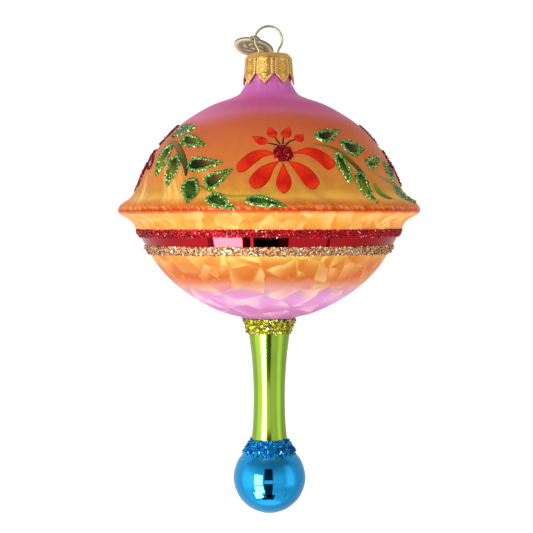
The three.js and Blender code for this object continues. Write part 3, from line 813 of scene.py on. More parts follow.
ring_trim(
    "glitter_band_red", low_z=92.6, high_z=94.95, proud=0.5, cell=0.29, kind="glitter_red",
    seed=21, ragged=0.13, tilt=0.32,
)
ring_trim(
    "glitter_band_gold", low_z=86.95, high_z=89.55, proud=0.5, cell=0.29, kind="glitter_gold",
    seed=22, ragged=0.13, tilt=0.32,
)
ring_trim(
    "glitter_collar_green", low_z=60.3, high_z=65.1, proud=0.5, cell=0.40,
    kind="glitter_chartreuse", seed=23, ragged=0.22, tilt=0.45,
)
ring_trim(
    "glitter_collar_blue", low_z=20.6, high_z=24.9, proud=0.6, cell=0.34, kind="glitter_blue",
    seed=24, ragged=0.25, tilt=0.55, sag_swing=0.55, sag_mean=0.15,
)


# ------------------------------------------------------------------ leaf and petal shapes
CORD_WIDTH, CORD_HEIGHT = 0.88, 0.5
CORD_CELL, CORD_STRIPS = 0.26, 5


def bezier(p0, p1, p2, p3, steps):
    t = np.linspace(0, 1, steps + 1)[:, None]
    return (1 - t) ** 3 * p0 + 3 * (1 - t) ** 2 * t * p1 + 3 * (1 - t) * t**2 * p2 + t**3 * p3


def leaf_sides(tip, end, sides, tip_steps, end_steps):
    """The two side lines of a leaf from its sharp tip to its round end."""
    axis = unit(end - tip)
    lines = []
    for side in sides:
        offset = side - tip
        across = offset - axis * offset.dot(axis)
        reach = np.linalg.norm(offset)
        along = (end - side).dot(axis)
        one = bezier(
            tip, tip + (side - tip) * 0.42, side - axis * 0.36 * reach, side, tip_steps
        )
        two = bezier(side, side + axis * 0.58 * along, end + across * 0.58, end, end_steps)
        lines.append(np.vstack([one, two[1:]]))
    return lines


def cord(piece, corners, turn, kind, seed):
    """A glitter cord along a leaf's outline."""
    patch, (tip, end, *sides) = lay_flat(corners, turn)
    axis = unit(end - tip)

    def outline(tip_shift, end_shift, inset):
        moved = []
        for side in sides:
            offset = side - tip
            offset = offset - axis * offset.dot(axis)
            moved.append(side - offset / (np.linalg.norm(offset) + 1e-9) * inset)
        ends = tip + axis * tip_shift, end + axis * end_shift
        one, two = leaf_sides(*ends, moved, tip_steps=24, end_steps=16)
        return close(np.vstack([one, two[1:-1][::-1]]))

    outer = outline(tip_shift=-0.2, end_shift=0.05, inset=-0.05)
    inner = outline(tip_shift=2.1 * CORD_WIDTH, end_shift=-CORD_WIDTH, inset=CORD_WIDTH)
    along = lengths(0.5 * (outer + inner))
    count = int(round(along[-1] / CORD_CELL))
    rng = np.random.default_rng(seed)
    at = (np.arange(count) + rng.uniform(-0.22, 0.22, count)) * along[-1] / count % along[-1]
    outer, inner = resample(outer, at, along), resample(inner, at, along)
    share = np.tile(np.linspace(0, 1, CORD_STRIPS + 1), (count, 1))
    share[:, 1:-1] += rng.normal(0, 0.035, (count, CORD_STRIPS - 1))
    share[:, 0] += rng.normal(0, 0.05, count)
    share[:, -1] += rng.normal(0, 0.05, count)
    flat = outer[:, None] * (1 - share[..., None]) + inner[:, None] * share[..., None]
    crown = np.sqrt(np.clip(1 - (2 * share - 1) ** 2, 0, 1))
    lift = 0.03 + CORD_HEIGHT * 0.72 * crown * rng.uniform(0.85, 1.12, share.shape)
    lift[:, 0] = lift[:, -1] = 0.03
    glitter_rope(piece, patch.at(flat, lift), kind, seed + 50, lift=(0.01, 0.05), tilt=0.5)


def loft(sides, patch, across, height, soft):
    """Closed lens between two side lines that meet at both ends. Its top rises to height over
    about soft from the rim. Returns vertices, faces and per vertex: along and across (0 to 1)
    and deep, the distance from the rim."""
    left, right = sides
    count = len(left)
    shares = np.linspace(0, 1, across + 1)
    steps = np.linspace(0, 1, count)
    flat, place = [], []
    grid = np.zeros((count, across + 1), int)
    for i in range(count):
        for j, share in enumerate(shares):
            if i in (0, count - 1) and j > 0:
                grid[i, j] = grid[i, 0]
                continue
            grid[i, j] = len(flat)
            flat.append(left[i] * (1 - share) + right[i] * share)
            place.append((steps[i], share))
    flat, place = np.array(flat), np.array(place)
    room = np.interp(place[:, 0], steps, np.linalg.norm(left - right, axis=1)) / 2
    deep = np.minimum(place[:, 1], 1 - place[:, 1]) * 2 * room
    span = lengths(0.5 * (left + right))
    along = np.interp(place[:, 0], steps, span)
    deep = np.minimum(deep, np.minimum(along, span[-1] - along))

    # top and underside share the vertices of the rim
    top = patch.at(flat, 0.03 + height * (1 - np.exp(-deep / soft)))
    low = patch.at(flat, 0.015)
    inside = deep >= 1e-6
    under = np.arange(len(flat))
    under[inside] = len(flat) + np.arange(inside.sum())
    verts = np.vstack([np.where(inside[:, None], top, low), low[inside]])
    faces = []
    for i in range(count - 1):
        for j in range(across):
            quad = [grid[i, j], grid[i, j + 1], grid[i + 1, j + 1], grid[i + 1, j]]
            faces.append([a for a, b in zip(quad, quad[1:] + quad[:1]) if a != b])
    probe = verts[faces[len(faces) // 2]]
    normal = np.cross(probe[1] - probe[0], probe[2] - probe[0])
    if normal.dot(outward(probe[:1])[0]) < 0:
        faces = [face[::-1] for face in faces]
    faces += [[int(under[corner]) for corner in face[::-1]] for face in faces]
    place = np.vstack([place, place[inside]])
    deep = np.concatenate([deep, np.zeros(inside.sum())])
    return verts, faces, {"along": place[:, 0], "across": place[:, 1], "deep": deep}


def leaf_lens(corners, turn, height, soft):
    """The enamel inside a cord."""
    patch, (tip, end, *sides) = lay_flat(corners, turn)
    axis = unit(end - tip)
    lines = leaf_sides(tip + axis * 0.5, end - axis * 0.25, sides, tip_steps=14, end_steps=10)
    return loft(lines, patch, 8, height, soft)


def enamel(name, parts, material, slot, attributes=("along",)):
    """One mesh of several lofted parts."""
    faces, start = [], 0
    for verts, part_faces, _ in parts:
        faces += [[int(corner) + start for corner in face] for face in part_faces]
        start += len(verts)
    build(
        name, np.vstack([part[0] for part in parts]), [faces], [material],
        attributes={key: np.concatenate([part[2][key] for part in parts]) for key in attributes},
    )


# ------------------------------------------------------------------ glitter leaves and flowers
# (azimuth, z) of the sharp tip, round end and both sides, then the enamel's tone:
# 0 dark bottle green, 1 olive, 2 grey-violet, 3 bright leaf green
LEAVES = {
    "left_1": (-47.7, 127.24, -66.6, 124.94, -61.8, 128.52, -53.7, 125.38, 2.0),
    "left_2": (-32.1, 121.28, -51.9, 122.82, -45.5, 124.87, -40.9, 120.96, 0.6),
    "left_3": (-57.4, 111.99, -59.9, 122.02, -64.5, 118.86, -53.9, 117.78, 0.9),
    "left_4": (-46.6, 108.5, -49.2, 118.43, -51.1, 114.82, -43.3, 115.01, 0.7),
    "left_5": (-20.7, 115.6, -38.2, 114.95, -35.4, 117.55, -32.3, 113.06, 0.0),
    "left_6": (-15.7, 113.54, -27.3, 109.68, -26.2, 111.89, -23.1, 107.42, 0.2),
    "left_7": (-30.5, 103.1, -34.5, 110.86, -37.7, 108.48, -29.2, 107.78, 3.0),
    "left_8": (-12.2, 101.3, -23.8, 104.68, -20.0, 106.18, -20.1, 102.28, 3.0),
    "left_9": (6.0, 102.2, -8.4, 103.66, -4.0, 105.29, -4.7, 102.3, 3.0),
    "right_1": (42.5, 126.37, 24.5, 123.87, 30.4, 125.96, 29.2, 122.07, 0.0),
    "right_2": (53.0, 120.3, 38.5, 122.46, 46.1, 122.54, 41.8, 118.23, 0.2),
    "right_3": (34.6, 109.15, 32.7, 118.64, 30.9, 115.78, 37.3, 113.22, 0.5),
    "right_4": (42.5, 103.16, 40.9, 112.86, 38.8, 109.6, 45.3, 110.7, 1.2),
    "right_5": (63.9, 118.24, 49.8, 114.29, 49.9, 116.72, 57.5, 115.12, 1.0),
    "right_6": (67.9, 109.97, 69.5, 116.23, 64.3, 113.32, 72.2, 113.06, 2.0),
    "right_7": (77.5, 103.32, 65.6, 108.42, 65.5, 104.89, 73.0, 107.55, 2.0),
}
FRONT_ONLY_LEAVES = ("right_5", "right_6", "right_7")
REAR_TURN = {"left": 188.0, "right": 184.0}
FLOWER_Z, FRONT_FLOWER_Z, FRONT_FLOWER_AZIMUTH = 119.45, 118.44, 6.35
SIDE_FLOWERS = {"west": -91.0, "east": 98.0}  # azimuths
# Tip, round end and both sides as above, from the flower's centre
PETAL_SHAPES = (
    (-4.6, 0.0, -20.2, -5.0, -14.0, 0.9, -11.6, -4.6),
    (-2.0, -2.9, -13.4, -10.2, -11.2, -4.9, -5.4, -7.8),
    (-0.2, -3.6, -0.4, -12.3, -3.5, -9.2, 2.8, -9.2),
    (2.4, -2.9, 12.8, -10.6, 6.2, -7.6, 12.4, -5.4),
    (4.6, 0.1, 22.4, -4.4, 12.9, -4.1, 15.9, -0.7),
    (2.6, 3.0, 12.6, 9.4, 5.4, 7.4, 11.0, 4.6),
    (-2.6, 3.0, -12.6, 9.4, -11.0, 4.6, -5.4, 7.4),
)
seeds = itertools.count(301)


def leaf_enamel():
    """Dark at the round end, brown and thin towards the tip."""
    material, tree = new_material("enamel_leaf")
    place = position(tree)
    tone = attribute(tree, "tone")
    cloud = place.noise(0.55, detail=3.0, rough=0.6)
    depth = attribute(tree, "along") + (cloud - 0.5) * 0.35
    depth = depth + (attribute(tree, "across") - 0.5) * 0.22
    bottle = depth.ramp(
        (0.22, (140, 84, 34)), (0.42, (62, 48, 14)), (0.62, (12, 28, 8)), (0.9, (22, 46, 18))
    )
    olive = depth.ramp(
        (0.15, (148, 146, 22)), (0.45, (122, 122, 14)), (0.7, (36, 50, 8)), (0.95, (20, 38, 10))
    )
    violet = depth.ramp(
        (0.2, (104, 84, 74)), (0.5, (92, 92, 96)), (0.8, (104, 104, 116)), (1.0, (120, 120, 134))
    )
    bright = depth.ramp(
        (0.2, (30, 36, 6)), (0.45, (62, 96, 12)), (0.7, (28, 60, 10)), (0.95, (16, 38, 8))
    )
    colour = tone.step(0.0, 1.0, kind="LINEAR").mix(bottle, olive)
    colour = tone.step(1.2, 2.0, kind="LINEAR").mix(colour, violet)
    colour = tone.step(2.1, 2.8, kind="LINEAR").mix(colour, bright)
    surface(
        tree, Base_Color=colour.shaded(0.8 + cloud * 0.4), Roughness=0.34 + cloud * 0.16,
        Specular_IOR_Level=0.12,
        Normal=place.noise(1.6).bump(strength=0.25, distance=0.0001),
    )
    return material


def petal_mirror():
    material, tree = new_material("enamel_petal_mirror")
    place = position(tree)
    cloud = place.noise(0.35, detail=3.0, rough=0.6)
    # the pale pink stop along each petal is a painted highlight on the mirror enamel
    colour = (attribute(tree, "along") + (cloud - 0.5) * 0.5).ramp(
        (0.1, (120, 14, 40)), (0.45, (186, 34, 66)), (0.75, (210, 96, 128)), (1.0, (150, 20, 50))
    )
    surface(
        tree, Base_Color=colour, Metallic=0.75, Roughness=0.14 + cloud * 0.14,
        Coat_Weight=0.6, Coat_Roughness=0.06,
        Normal=place.noise(0.9).bump(strength=0.4, distance=0.0002),
    )
    return material


def leaves():
    material = leaf_enamel()
    groups = {}
    for view in ("front", "rear"):
        for key, (*corners, tone) in LEAVES.items():
            if view == "rear" and key in FRONT_ONLY_LEAVES:
                continue
            side = key.split("_")[0]
            turn = REAR_TURN[side] if view == "rear" else 0.0
            cord(f"leaf_cord_{view}_{key}", corners, turn, "glitter_leaf_green", next(seeds))
            part = leaf_lens(corners, turn, height=0.10, soft=0.5)
            part[2]["tone"] = np.full(len(part[0]), tone)
            groups.setdefault(f"leaf_enamel_{view}_{side}", []).append(part)
    for name, parts in groups.items():
        enamel(name, parts, material, "enamel_green", ("along", "across", "tone"))


def side_flowers():
    material = petal_mirror()
    for side, azimuth in SIDE_FLOWERS.items():
        parts = []
        for i, shape in enumerate(PETAL_SHAPES, 1):
            corners = np.add(shape, [0, FLOWER_Z] * 4)
            cord(f"petal_cord_{side}_{i}", corners, azimuth, "glitter_burgundy", next(seeds))
            parts.append(leaf_lens(corners, azimuth, height=0.12, soft=0.6))
        enamel(f"petal_enamel_{side}", parts, material, "enamel_crimson_mirror")


def flower_centre(key, azimuth, z, radius, height):
    """A domed glitter disc on a square grid pressed round."""
    cell = 0.28
    seed = next(seeds)
    rng = np.random.default_rng(seed)
    count = int(round(2 * radius / cell)) + 3
    x, y = np.meshgrid(*[np.linspace(-1, 1, count)] * 2, indexing="ij")
    disc = np.stack([x * np.sqrt(1 - y * y / 2), y * np.sqrt(1 - x * x / 2)], -1)
    reach = np.linalg.norm(disc, axis=-1)
    flat = disc * radius
    flat += rng.normal(0, 0.16 * cell, flat.shape)
    dome = np.sqrt(np.clip(1 - reach**3.2, 0, 1))
    lift = 0.03 + height * 0.75 * dome * rng.uniform(0.85, 1.1, reach.shape)
    lift[reach > 0.999] = 0.03
    ids = np.arange(count * count).reshape(count, count)
    rim = np.concatenate([ids[0], ids[1:, -1], ids[-1, -2::-1], ids[-2:0:-1, 0]]).tolist()
    quads = grid_quads(count, count)
    glitter(
        f"flower_centre_{key}", Patch(azimuth, z).at(flat, lift), quads,
        np.ones(len(quads), bool), "glitter_crimson", seed + 9, tilt=0.6, rim=rim,
    )


leaves()
side_flowers()
for key, turn in (("front", 0.0), ("rear", 180.0)):
    azimuth = FRONT_FLOWER_AZIMUTH + turn
    flower_centre(key, azimuth, FRONT_FLOWER_Z, radius=2.85, height=0.95)
for key, azimuth in SIDE_FLOWERS.items():
    flower_centre(key, azimuth, FLOWER_Z, radius=2.3, height=0.85)


# ------------------------------------------------------------------ painted enamel
# (azimuth, z) outlines that start and end at the petal's base
PETALS = (
    ((2.34, 118.64), (-2.65, 119.59), (-7.63, 119.07), (-11.96, 116.97), (-14.18, 114.5),
     (-12.61, 112.41), (-9.8, 113.02), (-6.56, 115.08), (-2.54, 117.16), (1.73, 118.11)),
    ((4.9, 116.14), (-0.1, 115.3), (-4.71, 113.63), (-7.62, 111.16), (-8.2, 109.5),
     (-5.72, 107.44), (-2.27, 108.26), (0.44, 110.71), (2.17, 113.84), (4.62, 115.92)),
    ((6.04, 115.48), (4.43, 113), (3.07, 110.53), (2.85, 108.48), (5.63, 105.91),
     (8.86, 108.48), (8.79, 110.94), (7.54, 113.01), (6.3, 115.49)),
    ((8.34, 116.15), (12.91, 115.52), (17.12, 113.89), (19.86, 111.61), (20.9, 109.36),
     (17.47, 107.07), (14.66, 108.5), (12.47, 110.95), (10.48, 113.42), (8.1, 115.95)),
    ((10.62, 118.58), (17.56, 120.27), (22.84, 120), (27.01, 118.53), (29.87, 116.57),
     (30.3, 115.26), (25.72, 113.24), (22.87, 115.19), (19.51, 117.12), (15.82, 118.26),
     (10.7, 118.29)),
)
# (azimuth, z) of tip and base
BUDS = (
    ((-8.97, 124.05), (-1.14, 121.62)), ((-0.12, 127.13), (2.47, 123.46)),
    ((11.74, 127.18), (7.47, 123.34)), ((18.43, 124.71), (13.44, 122.5)),
)
BUD_WIDTH = 3.2
# (azimuth, z) lines
STALKS = (
    ((5.0, 120.93), (1.8, 121.38), (-1.14, 121.79)),
    ((5.6, 121.13), (4.2, 122.35), (2.9, 123.79)),
    ((6.7, 121.24), (6.9, 122.26), (7.3, 123.69)),
    ((7.8, 120.93), (10.0, 122.16), (12.0, 122.68), (14.2, 122.79)),
)
STALK_WIDTHS = (0.62, 0.52, 0.42)
# Colour, (azimuth, z) line, widths at even steps along it
STEMS = {
    "right_1": ("olive", ((20.58, 121.76), (33.27, 119.96), (39.53, 116.06), (43.68, 112.8),
                          (46.09, 109.19)), (0.35, 1.1, 1.95, 1.95, 1.0)),
    "right_2": ("grey", ((50.4, 113.25), (57.86, 111.18), (67.89, 109.15), (76.65, 107.56)),
                (0.55, 1.1, 1.5, 0.8)),
    "left_1": ("olive", ((-69.52, 123.3), (-55.55, 122.24), (-45.63, 118.9), (-39.3, 114.6),
                         (-37.25, 111.53)), (0.9, 1.7, 2.3, 2.3, 1.1)),
    "left_2": ("lime", ((-30.22, 109.06), (-24.78, 107.14), (-16.0, 105.38), (-11.85, 105.21),
                        (0.72, 106.11), (3.0, 106.72)), (0.45, 0.85, 1.05, 1.1, 0.85, 0.3)),
    "left_3": ("brown", ((-55.5, 114.68), (-52.5, 115.24), (-49.8, 114.5)), (0.2, 0.35, 0.2)),
}
FRONT_ONLY_STEM = "right_2"
PLAIN_LEAF = ((49.4, 109.45), (50.34, 106.64), (52.6, 105.16), (56.6, 104.65))
PLAIN_LEAF_WIDTHS = (1.9, 2.9, 2.5, 0.6)
# (position, sRGB) along the stroke
STEM_COLOURS = {
    "stalk": ((0.0, (46, 14, 18)), (1.0, (40, 18, 22))),
    "stem_olive": ((0.0, (158, 110, 36)), (0.3, (124, 104, 26)), (0.6, (92, 84, 20)),
                   (0.9, (50, 56, 8))),
    "stem_grey": ((0.0, (150, 140, 70)), (0.5, (132, 130, 92)), (1.0, (150, 160, 172))),
    "stem_lime": ((0.0, (120, 104, 14)), (0.45, (172, 160, 24)), (1.0, (182, 182, 40))),
    "stem_brown": ((0.0, (140, 84, 48)), (1.0, (140, 84, 48))),
    "stem_leaf": ((0.0, (120, 142, 30)), (0.5, (84, 124, 30)), (1.0, (56, 92, 28))),
}


def enamel_red():
    material, tree = new_material("enamel_orange_red")
    place = position(tree)
    cloud = place.noise(0.30, detail=3.0, rough=0.55)
    core = (attribute(tree, "along") + (cloud - 0.5) * 0.3).ramp(
        (0.0, (232, 62, 8)), (0.3, (228, 50, 6)), (0.6, (196, 18, 4)), (0.84, (232, 60, 10)),
        (1.0, (200, 20, 4)),
    )
    deep = attribute(tree, "deep") + (cloud - 0.5) * 0.35
    rim = deep.step(0.0, 0.85, low=1.0, high=0.0)
    colour = (rim * 0.8).mix(core, srgb(206, 24, 8))
    strokes = place.vector("MULTIPLY", (1.0, 1.0, 0.35)).noise(1.3, detail=3.0, rough=0.6)
    surface(
        tree, Base_Color=colour.shaded(0.9 + strokes * 0.2), Roughness=0.40 + cloud * 0.12,
        Specular_IOR_Level=0.12, Normal=strokes.bump(strength=0.2, distance=0.0001),
    )
    return material


def stem_enamel(name, stops):
    material, tree = new_material(name)
    cloud = position(tree).noise(0.5, detail=3.0, rough=0.6)
    colour = (attribute(tree, "along") + (cloud - 0.5) * 0.25).ramp(*stops)
    surface(
        tree, Base_Color=colour, Roughness=0.34 + cloud * 0.15, Specular_IOR_Level=0.2,
        Coat_Weight=0.03, Coat_Roughness=0.2,
        Normal=cloud.bump(strength=0.3, distance=0.0001),
    )
    return material


def painted_petal(outline, turn):
    patch, flat = lay_flat(outline, turn)
    line = catmull(flat, 12)
    base = 0.5 * (line[0] + line[-1])
    far = int(np.argmax(np.linalg.norm(line - base, axis=1)))
    even = np.linspace(0, 1, 31)
    share = 0.4 * even + 0.6 * (0.5 - 0.5 * np.cos(even * math.pi))  # closer at both ends
    sides = []
    for half in (line[: far + 1], line[far:][::-1]):
        side = np.vstack([base, half])
        sides.append(resample(side, share * lengths(side)[-1]))
    return loft(sides, patch, 12, height=0.16, soft=0.35)


def teardrop(ends, turn):
    patch, (tip, base) = lay_flat(ends, turn)
    axis = unit(base - tip)
    half = np.array([-axis[1], axis[0]]) * BUD_WIDTH / 2
    widest = tip + (base - tip) * 0.66
    lines = leaf_sides(tip, base, (widest + half, widest - half), tip_steps=12, end_steps=8)
    return loft(lines, patch, 8, height=0.16, soft=0.35)


def stroke(line, widths, turn, height=0.10):
    """Raised brush stroke of changing width along a line."""
    patch, flat = lay_flat(line, turn)
    middle = catmull(flat, 12)
    total = lengths(middle)[-1]
    at = np.linspace(0, total, max(10, int(total / 0.45)))
    middle = resample(middle, at)
    width = np.interp(at / total, np.linspace(0, 1, len(widths)), widths)
    width = width * np.sqrt(np.clip(1 - (2 * at / total - 1) ** 16, 0, 1))  # blunt ends
    half = side_directions(middle) * width[:, None] / 2
    half[[0, -1]] = 0
    return loft((middle + half, middle - half), patch, 6, height, soft=0.25)


def painted_enamel():
    red = enamel_red()
    stem = {
        key: stem_enamel(f"enamel_{key}", stops) for key, stops in STEM_COLOURS.items()
    }
    for view, turn in (("front", 0.0), ("rear", 180.0)):
        red_settings = (red, "enamel_orange_red", ("along", "deep"))
        for i, outline in enumerate(PETALS, 1):
            enamel(f"petal_enamel_{view}_{i}", [painted_petal(outline, turn)], *red_settings)
        enamel(f"bud_enamel_{view}", [teardrop(ends, turn) for ends in BUDS], *red_settings)
        stalks = [stroke(line, STALK_WIDTHS, turn, height=0.08) for line in STALKS]
        enamel(f"stalk_enamel_{view}", stalks, stem["stalk"], "enamel_stem")
    for view in ("front", "rear"):
        for key, (colour, line, widths) in STEMS.items():
            if view == "rear" and key == FRONT_ONLY_STEM:
                continue
            turn = REAR_TURN[key.split("_")[0]] if view == "rear" else 0.0
            parts = [stroke(line, widths, turn)]
            enamel(f"stem_enamel_{view}_{key}", parts, stem[f"stem_{colour}"], "enamel_stem")
    plain = stroke(PLAIN_LEAF, PLAIN_LEAF_WIDTHS, 0.0, height=0.12)
    enamel("leaf_enamel_front_plain", [plain], stem["stem_leaf"], "enamel_green")


painted_enamel()


# ------------------------------------------------------------------ crown cap
CAP_PETALS, FIRST_PETAL_AZIMUTH = 8, -9.2
CAP_COLUMNS, CAP_ROWS = 46, 92  # cells of one petal
CAP_TIP_Z, CAP_VEE_Z, CAP_SHOULDER_Z = 142.55, 146.15, 151.35
CAP_SHEET = 0.32
SLIT_HALF, SLIT_TOP_Z = 0.16, 150.86
SLIT_HOLE_Z, SLIT_HOLE_RADIUS = 150.45, 0.36
ROSETTE_Z = 148.1
# (z, radius) from the shoulder to the flat top, outside and inside
CAP_OVER = np.array([
    (151.35, 7.68), (151.45, 7.655), (151.53, 7.60), (151.8, 7.36), (152.3, 6.92),
    (152.6, 6.64), (152.7, 6.55), (152.77, 6.48), (152.8, 6.42),
])
CAP_UNDER = np.array([
    (151.35, 7.36), (151.42, 7.32), (151.6, 7.16), (152.0, 6.8), (152.36, 6.46), (152.45, 6.34),
])
WIRE_HOLE_X, WIRE_HOLE_RADIUS, WIRE_HOLE_POINTS = 3.12, 0.72, 24


def gilt(name, high, middle, low, rough, metallic):
    """Embossed metal with painted light: lighter on the raised parts as painted highlight, darker
    in the hollows as painted shade.
    """
    material, tree = new_material(name)
    place = position(tree)
    relief = attribute(tree, "relief")
    cloud = place.noise(0.5, detail=3.0, rough=0.6)
    grain = place.noise(6.0, detail=3.0, rough=0.65)
    tone = relief + (cloud - 0.5) * 0.35 + (grain - 0.5) * 0.2
    surface(
        tree, Base_Color=tone.ramp((0.1, low), (0.45, middle), (0.85, high)),
        Metallic=metallic, Roughness=rough + grain * 0.10 + relief * -0.06,
        Normal=(grain + cloud * 1.5).bump(strength=0.07, distance=0.00005),
    )
    return material


def petal_beads(z, full):
    """(x, z) of the bead rows down both sides of a petal and along its vee."""

    def full_at(level):
        return float(np.interp(level, z[::-1], full[::-1]))

    beads = []
    for side in (-1, 1):
        for level in np.arange(150.6, 146.2, -0.72):
            beads.append((side * (full_at(level) - SLIT_HALF - 0.60), level))
        top = np.array([side * (full_at(CAP_VEE_Z) - SLIT_HALF - 0.58), 145.75])
        tip = np.array([0.0, CAP_TIP_Z + 0.95])
        steps = 5 if side < 0 else 4  # the rows share the bead at the tip
        beads += [tuple(top + (tip - top) * k / 5.0) for k in range(1, steps + 1)]
    return beads


def petal_sheet():
    """x along the curve, z, radius and relief height of one cap petal, shoulder downwards."""
    z = CAP_SHOULDER_Z + (CAP_TIP_Z - CAP_SHOULDER_Z) * np.linspace(0, 1, CAP_ROWS + 1)
    radius = np.interp(z, [CAP_TIP_Z, 146.5, CAP_SHOULDER_Z], [8.45, 8.02, 7.68])
    full = radius * math.pi / CAP_PETALS
    hole = np.sqrt(np.clip(SLIT_HOLE_RADIUS**2 - (z - SLIT_HOLE_Z) ** 2, 0, None))
    slit = np.maximum(np.where(z > SLIT_TOP_Z, 0.0, SLIT_HALF), hole)
    down = np.clip((CAP_VEE_Z - z) / (CAP_VEE_Z - CAP_TIP_Z), 0, 1)
    vee = np.maximum((full - SLIT_HALF) * (1 - down**1.06), 0.04)
    half = np.where(z < CAP_VEE_Z, vee, full - slit)
    x = half[:, None] * np.linspace(-1, 1, CAP_COLUMNS + 1)[None, :]
    level = np.repeat(z[:, None], CAP_COLUMNS + 1, 1)

    # distance from the petal's edge
    cosine = 1 / math.hypot(1, (full[0] - SLIT_HALF) / (CAP_VEE_Z - CAP_TIP_Z))
    edge = (half[:, None] - np.abs(x)) * np.where(z > CAP_VEE_Z, 1.0, cosine)[:, None]
    edge = np.minimum(edge, (full - SLIT_HALF)[:, None] - np.abs(x))

    relief = ridge(edge - 0.16, 0.13, 0.12)
    for bead_x, bead_z in petal_beads(z, full):
        relief += ridge(np.hypot(x - bead_x, level - bead_z), 0.23, 0.25)
    # oval rosette with eight leaves
    ring = np.hypot(x / 0.72, (level - ROSETTE_Z) / 0.88)
    relief += ridge(ring, 0.42, 0.18) + ridge(ring - 1.0, 0.16, 0.10)
    for k in range(8):
        angle = TAU * (k + 0.5) / 8
        cosine, sine = math.cos(angle), math.sin(angle)
        leaf_x, leaf_z = x - 1.18 * cosine, level - (ROSETTE_Z + 1.42 * sine)
        along = leaf_x * cosine + leaf_z * sine
        across = -leaf_x * sine + leaf_z * cosine
        clear = np.clip((edge - 0.75) / 0.3, 0, 1)
        relief += ridge(np.hypot(along / 1.35, across), 0.25, 0.10) * clear
    # buds with a leaf on each side: z, size
    for bud_z, size in ((150.45, 1.0), (145.55, 1.0), (144.7, 0.8)):
        relief += ridge(np.hypot(x * 0.8, level - bud_z) / size, 0.34, 0.2)
        for side in (-1, 1):
            leaf = np.hypot((x - side * 0.62 * size) * 1.5, level - bud_z - 0.25) / size
            relief += ridge(leaf, 0.30, 0.13) * np.clip((edge - 0.7) / 0.3, 0, 1)
    relief += ridge(level - 150.98, 0.12, 0.07) * np.clip(full[:, None] - np.abs(x), 0, 1)
    relief *= np.clip((z - CAP_SHOULDER_Z) / -0.35, 0, 1)[:, None]
    return x, level, radius[:, None], relief


def petal_faces(z):
    """Faces of the outer and inner skin of one petal, its slit walls and its tip."""
    rows, columns = CAP_ROWS + 1, CAP_COLUMNS + 1
    outer = np.arange(rows * columns).reshape(rows, columns)
    inner = outer + rows * columns
    is_open = z < SLIT_TOP_Z
    i = np.flatnonzero(is_open[:-1] | is_open[1:])
    first = np.stack([outer[i, 0], inner[i, 0], inner[i + 1, 0], outer[i + 1, 0]], 1)
    last = np.stack([outer[i, -1], outer[i + 1, -1], inner[i + 1, -1], inner[i, -1]], 1)
    tip = [outer[-1, :-1], inner[-1, :-1], inner[-1, 1:], outer[-1, 1:]]
    return [
        grid_quads(rows, columns), grid_quads(rows, columns, across=True) + rows * columns,
        np.stack([first, last], 1).reshape(-1, 4), np.stack(tip, -1),
    ]


def cap_disc(z, radius, angle):
    """Flat disc with the two wire holes."""
    ring_points = [around(radius, angle, z)[:, :2]]
    for ring_radius, count in ((5.5, 72), (4.6, 48), (2.2, 24), (1.2, 16)):
        turn = np.arange(count) * TAU / count + 0.05
        ring = np.stack([ring_radius * np.cos(turn), ring_radius * np.sin(turn)], 1)
        for side in (-WIRE_HOLE_X, WIRE_HOLE_X):
            ring = ring[np.hypot(ring[:, 0] - side, ring[:, 1]) > 1.0]
        ring_points.append(ring)
    points = np.vstack(ring_points + wire_holes())
    edges = loop_edges(0, len(angle))
    for k in (2, 1):
        edges += loop_edges(len(points) - k * WIRE_HOLE_POINTS, WIRE_HOLE_POINTS)
    points, faces = triangulate(points, edges, 1e-5)
    for side in (-WIRE_HOLE_X, WIRE_HOLE_X):
        middle = points[faces].mean(1)
        faces = faces[np.hypot(middle[:, 0] - side, middle[:, 1]) > WIRE_HOLE_RADIUS - 0.02]
    return np.column_stack([points, np.full(len(points), z)]), faces


def wire_holes():
    turn = np.arange(WIRE_HOLE_POINTS) * TAU / WIRE_HOLE_POINTS
    x, y = WIRE_HOLE_RADIUS * np.cos(turn), WIRE_HOLE_RADIUS * np.sin(turn)
    return [np.stack([side + x, y], 1) for side in (-WIRE_HOLE_X, WIRE_HOLE_X)]


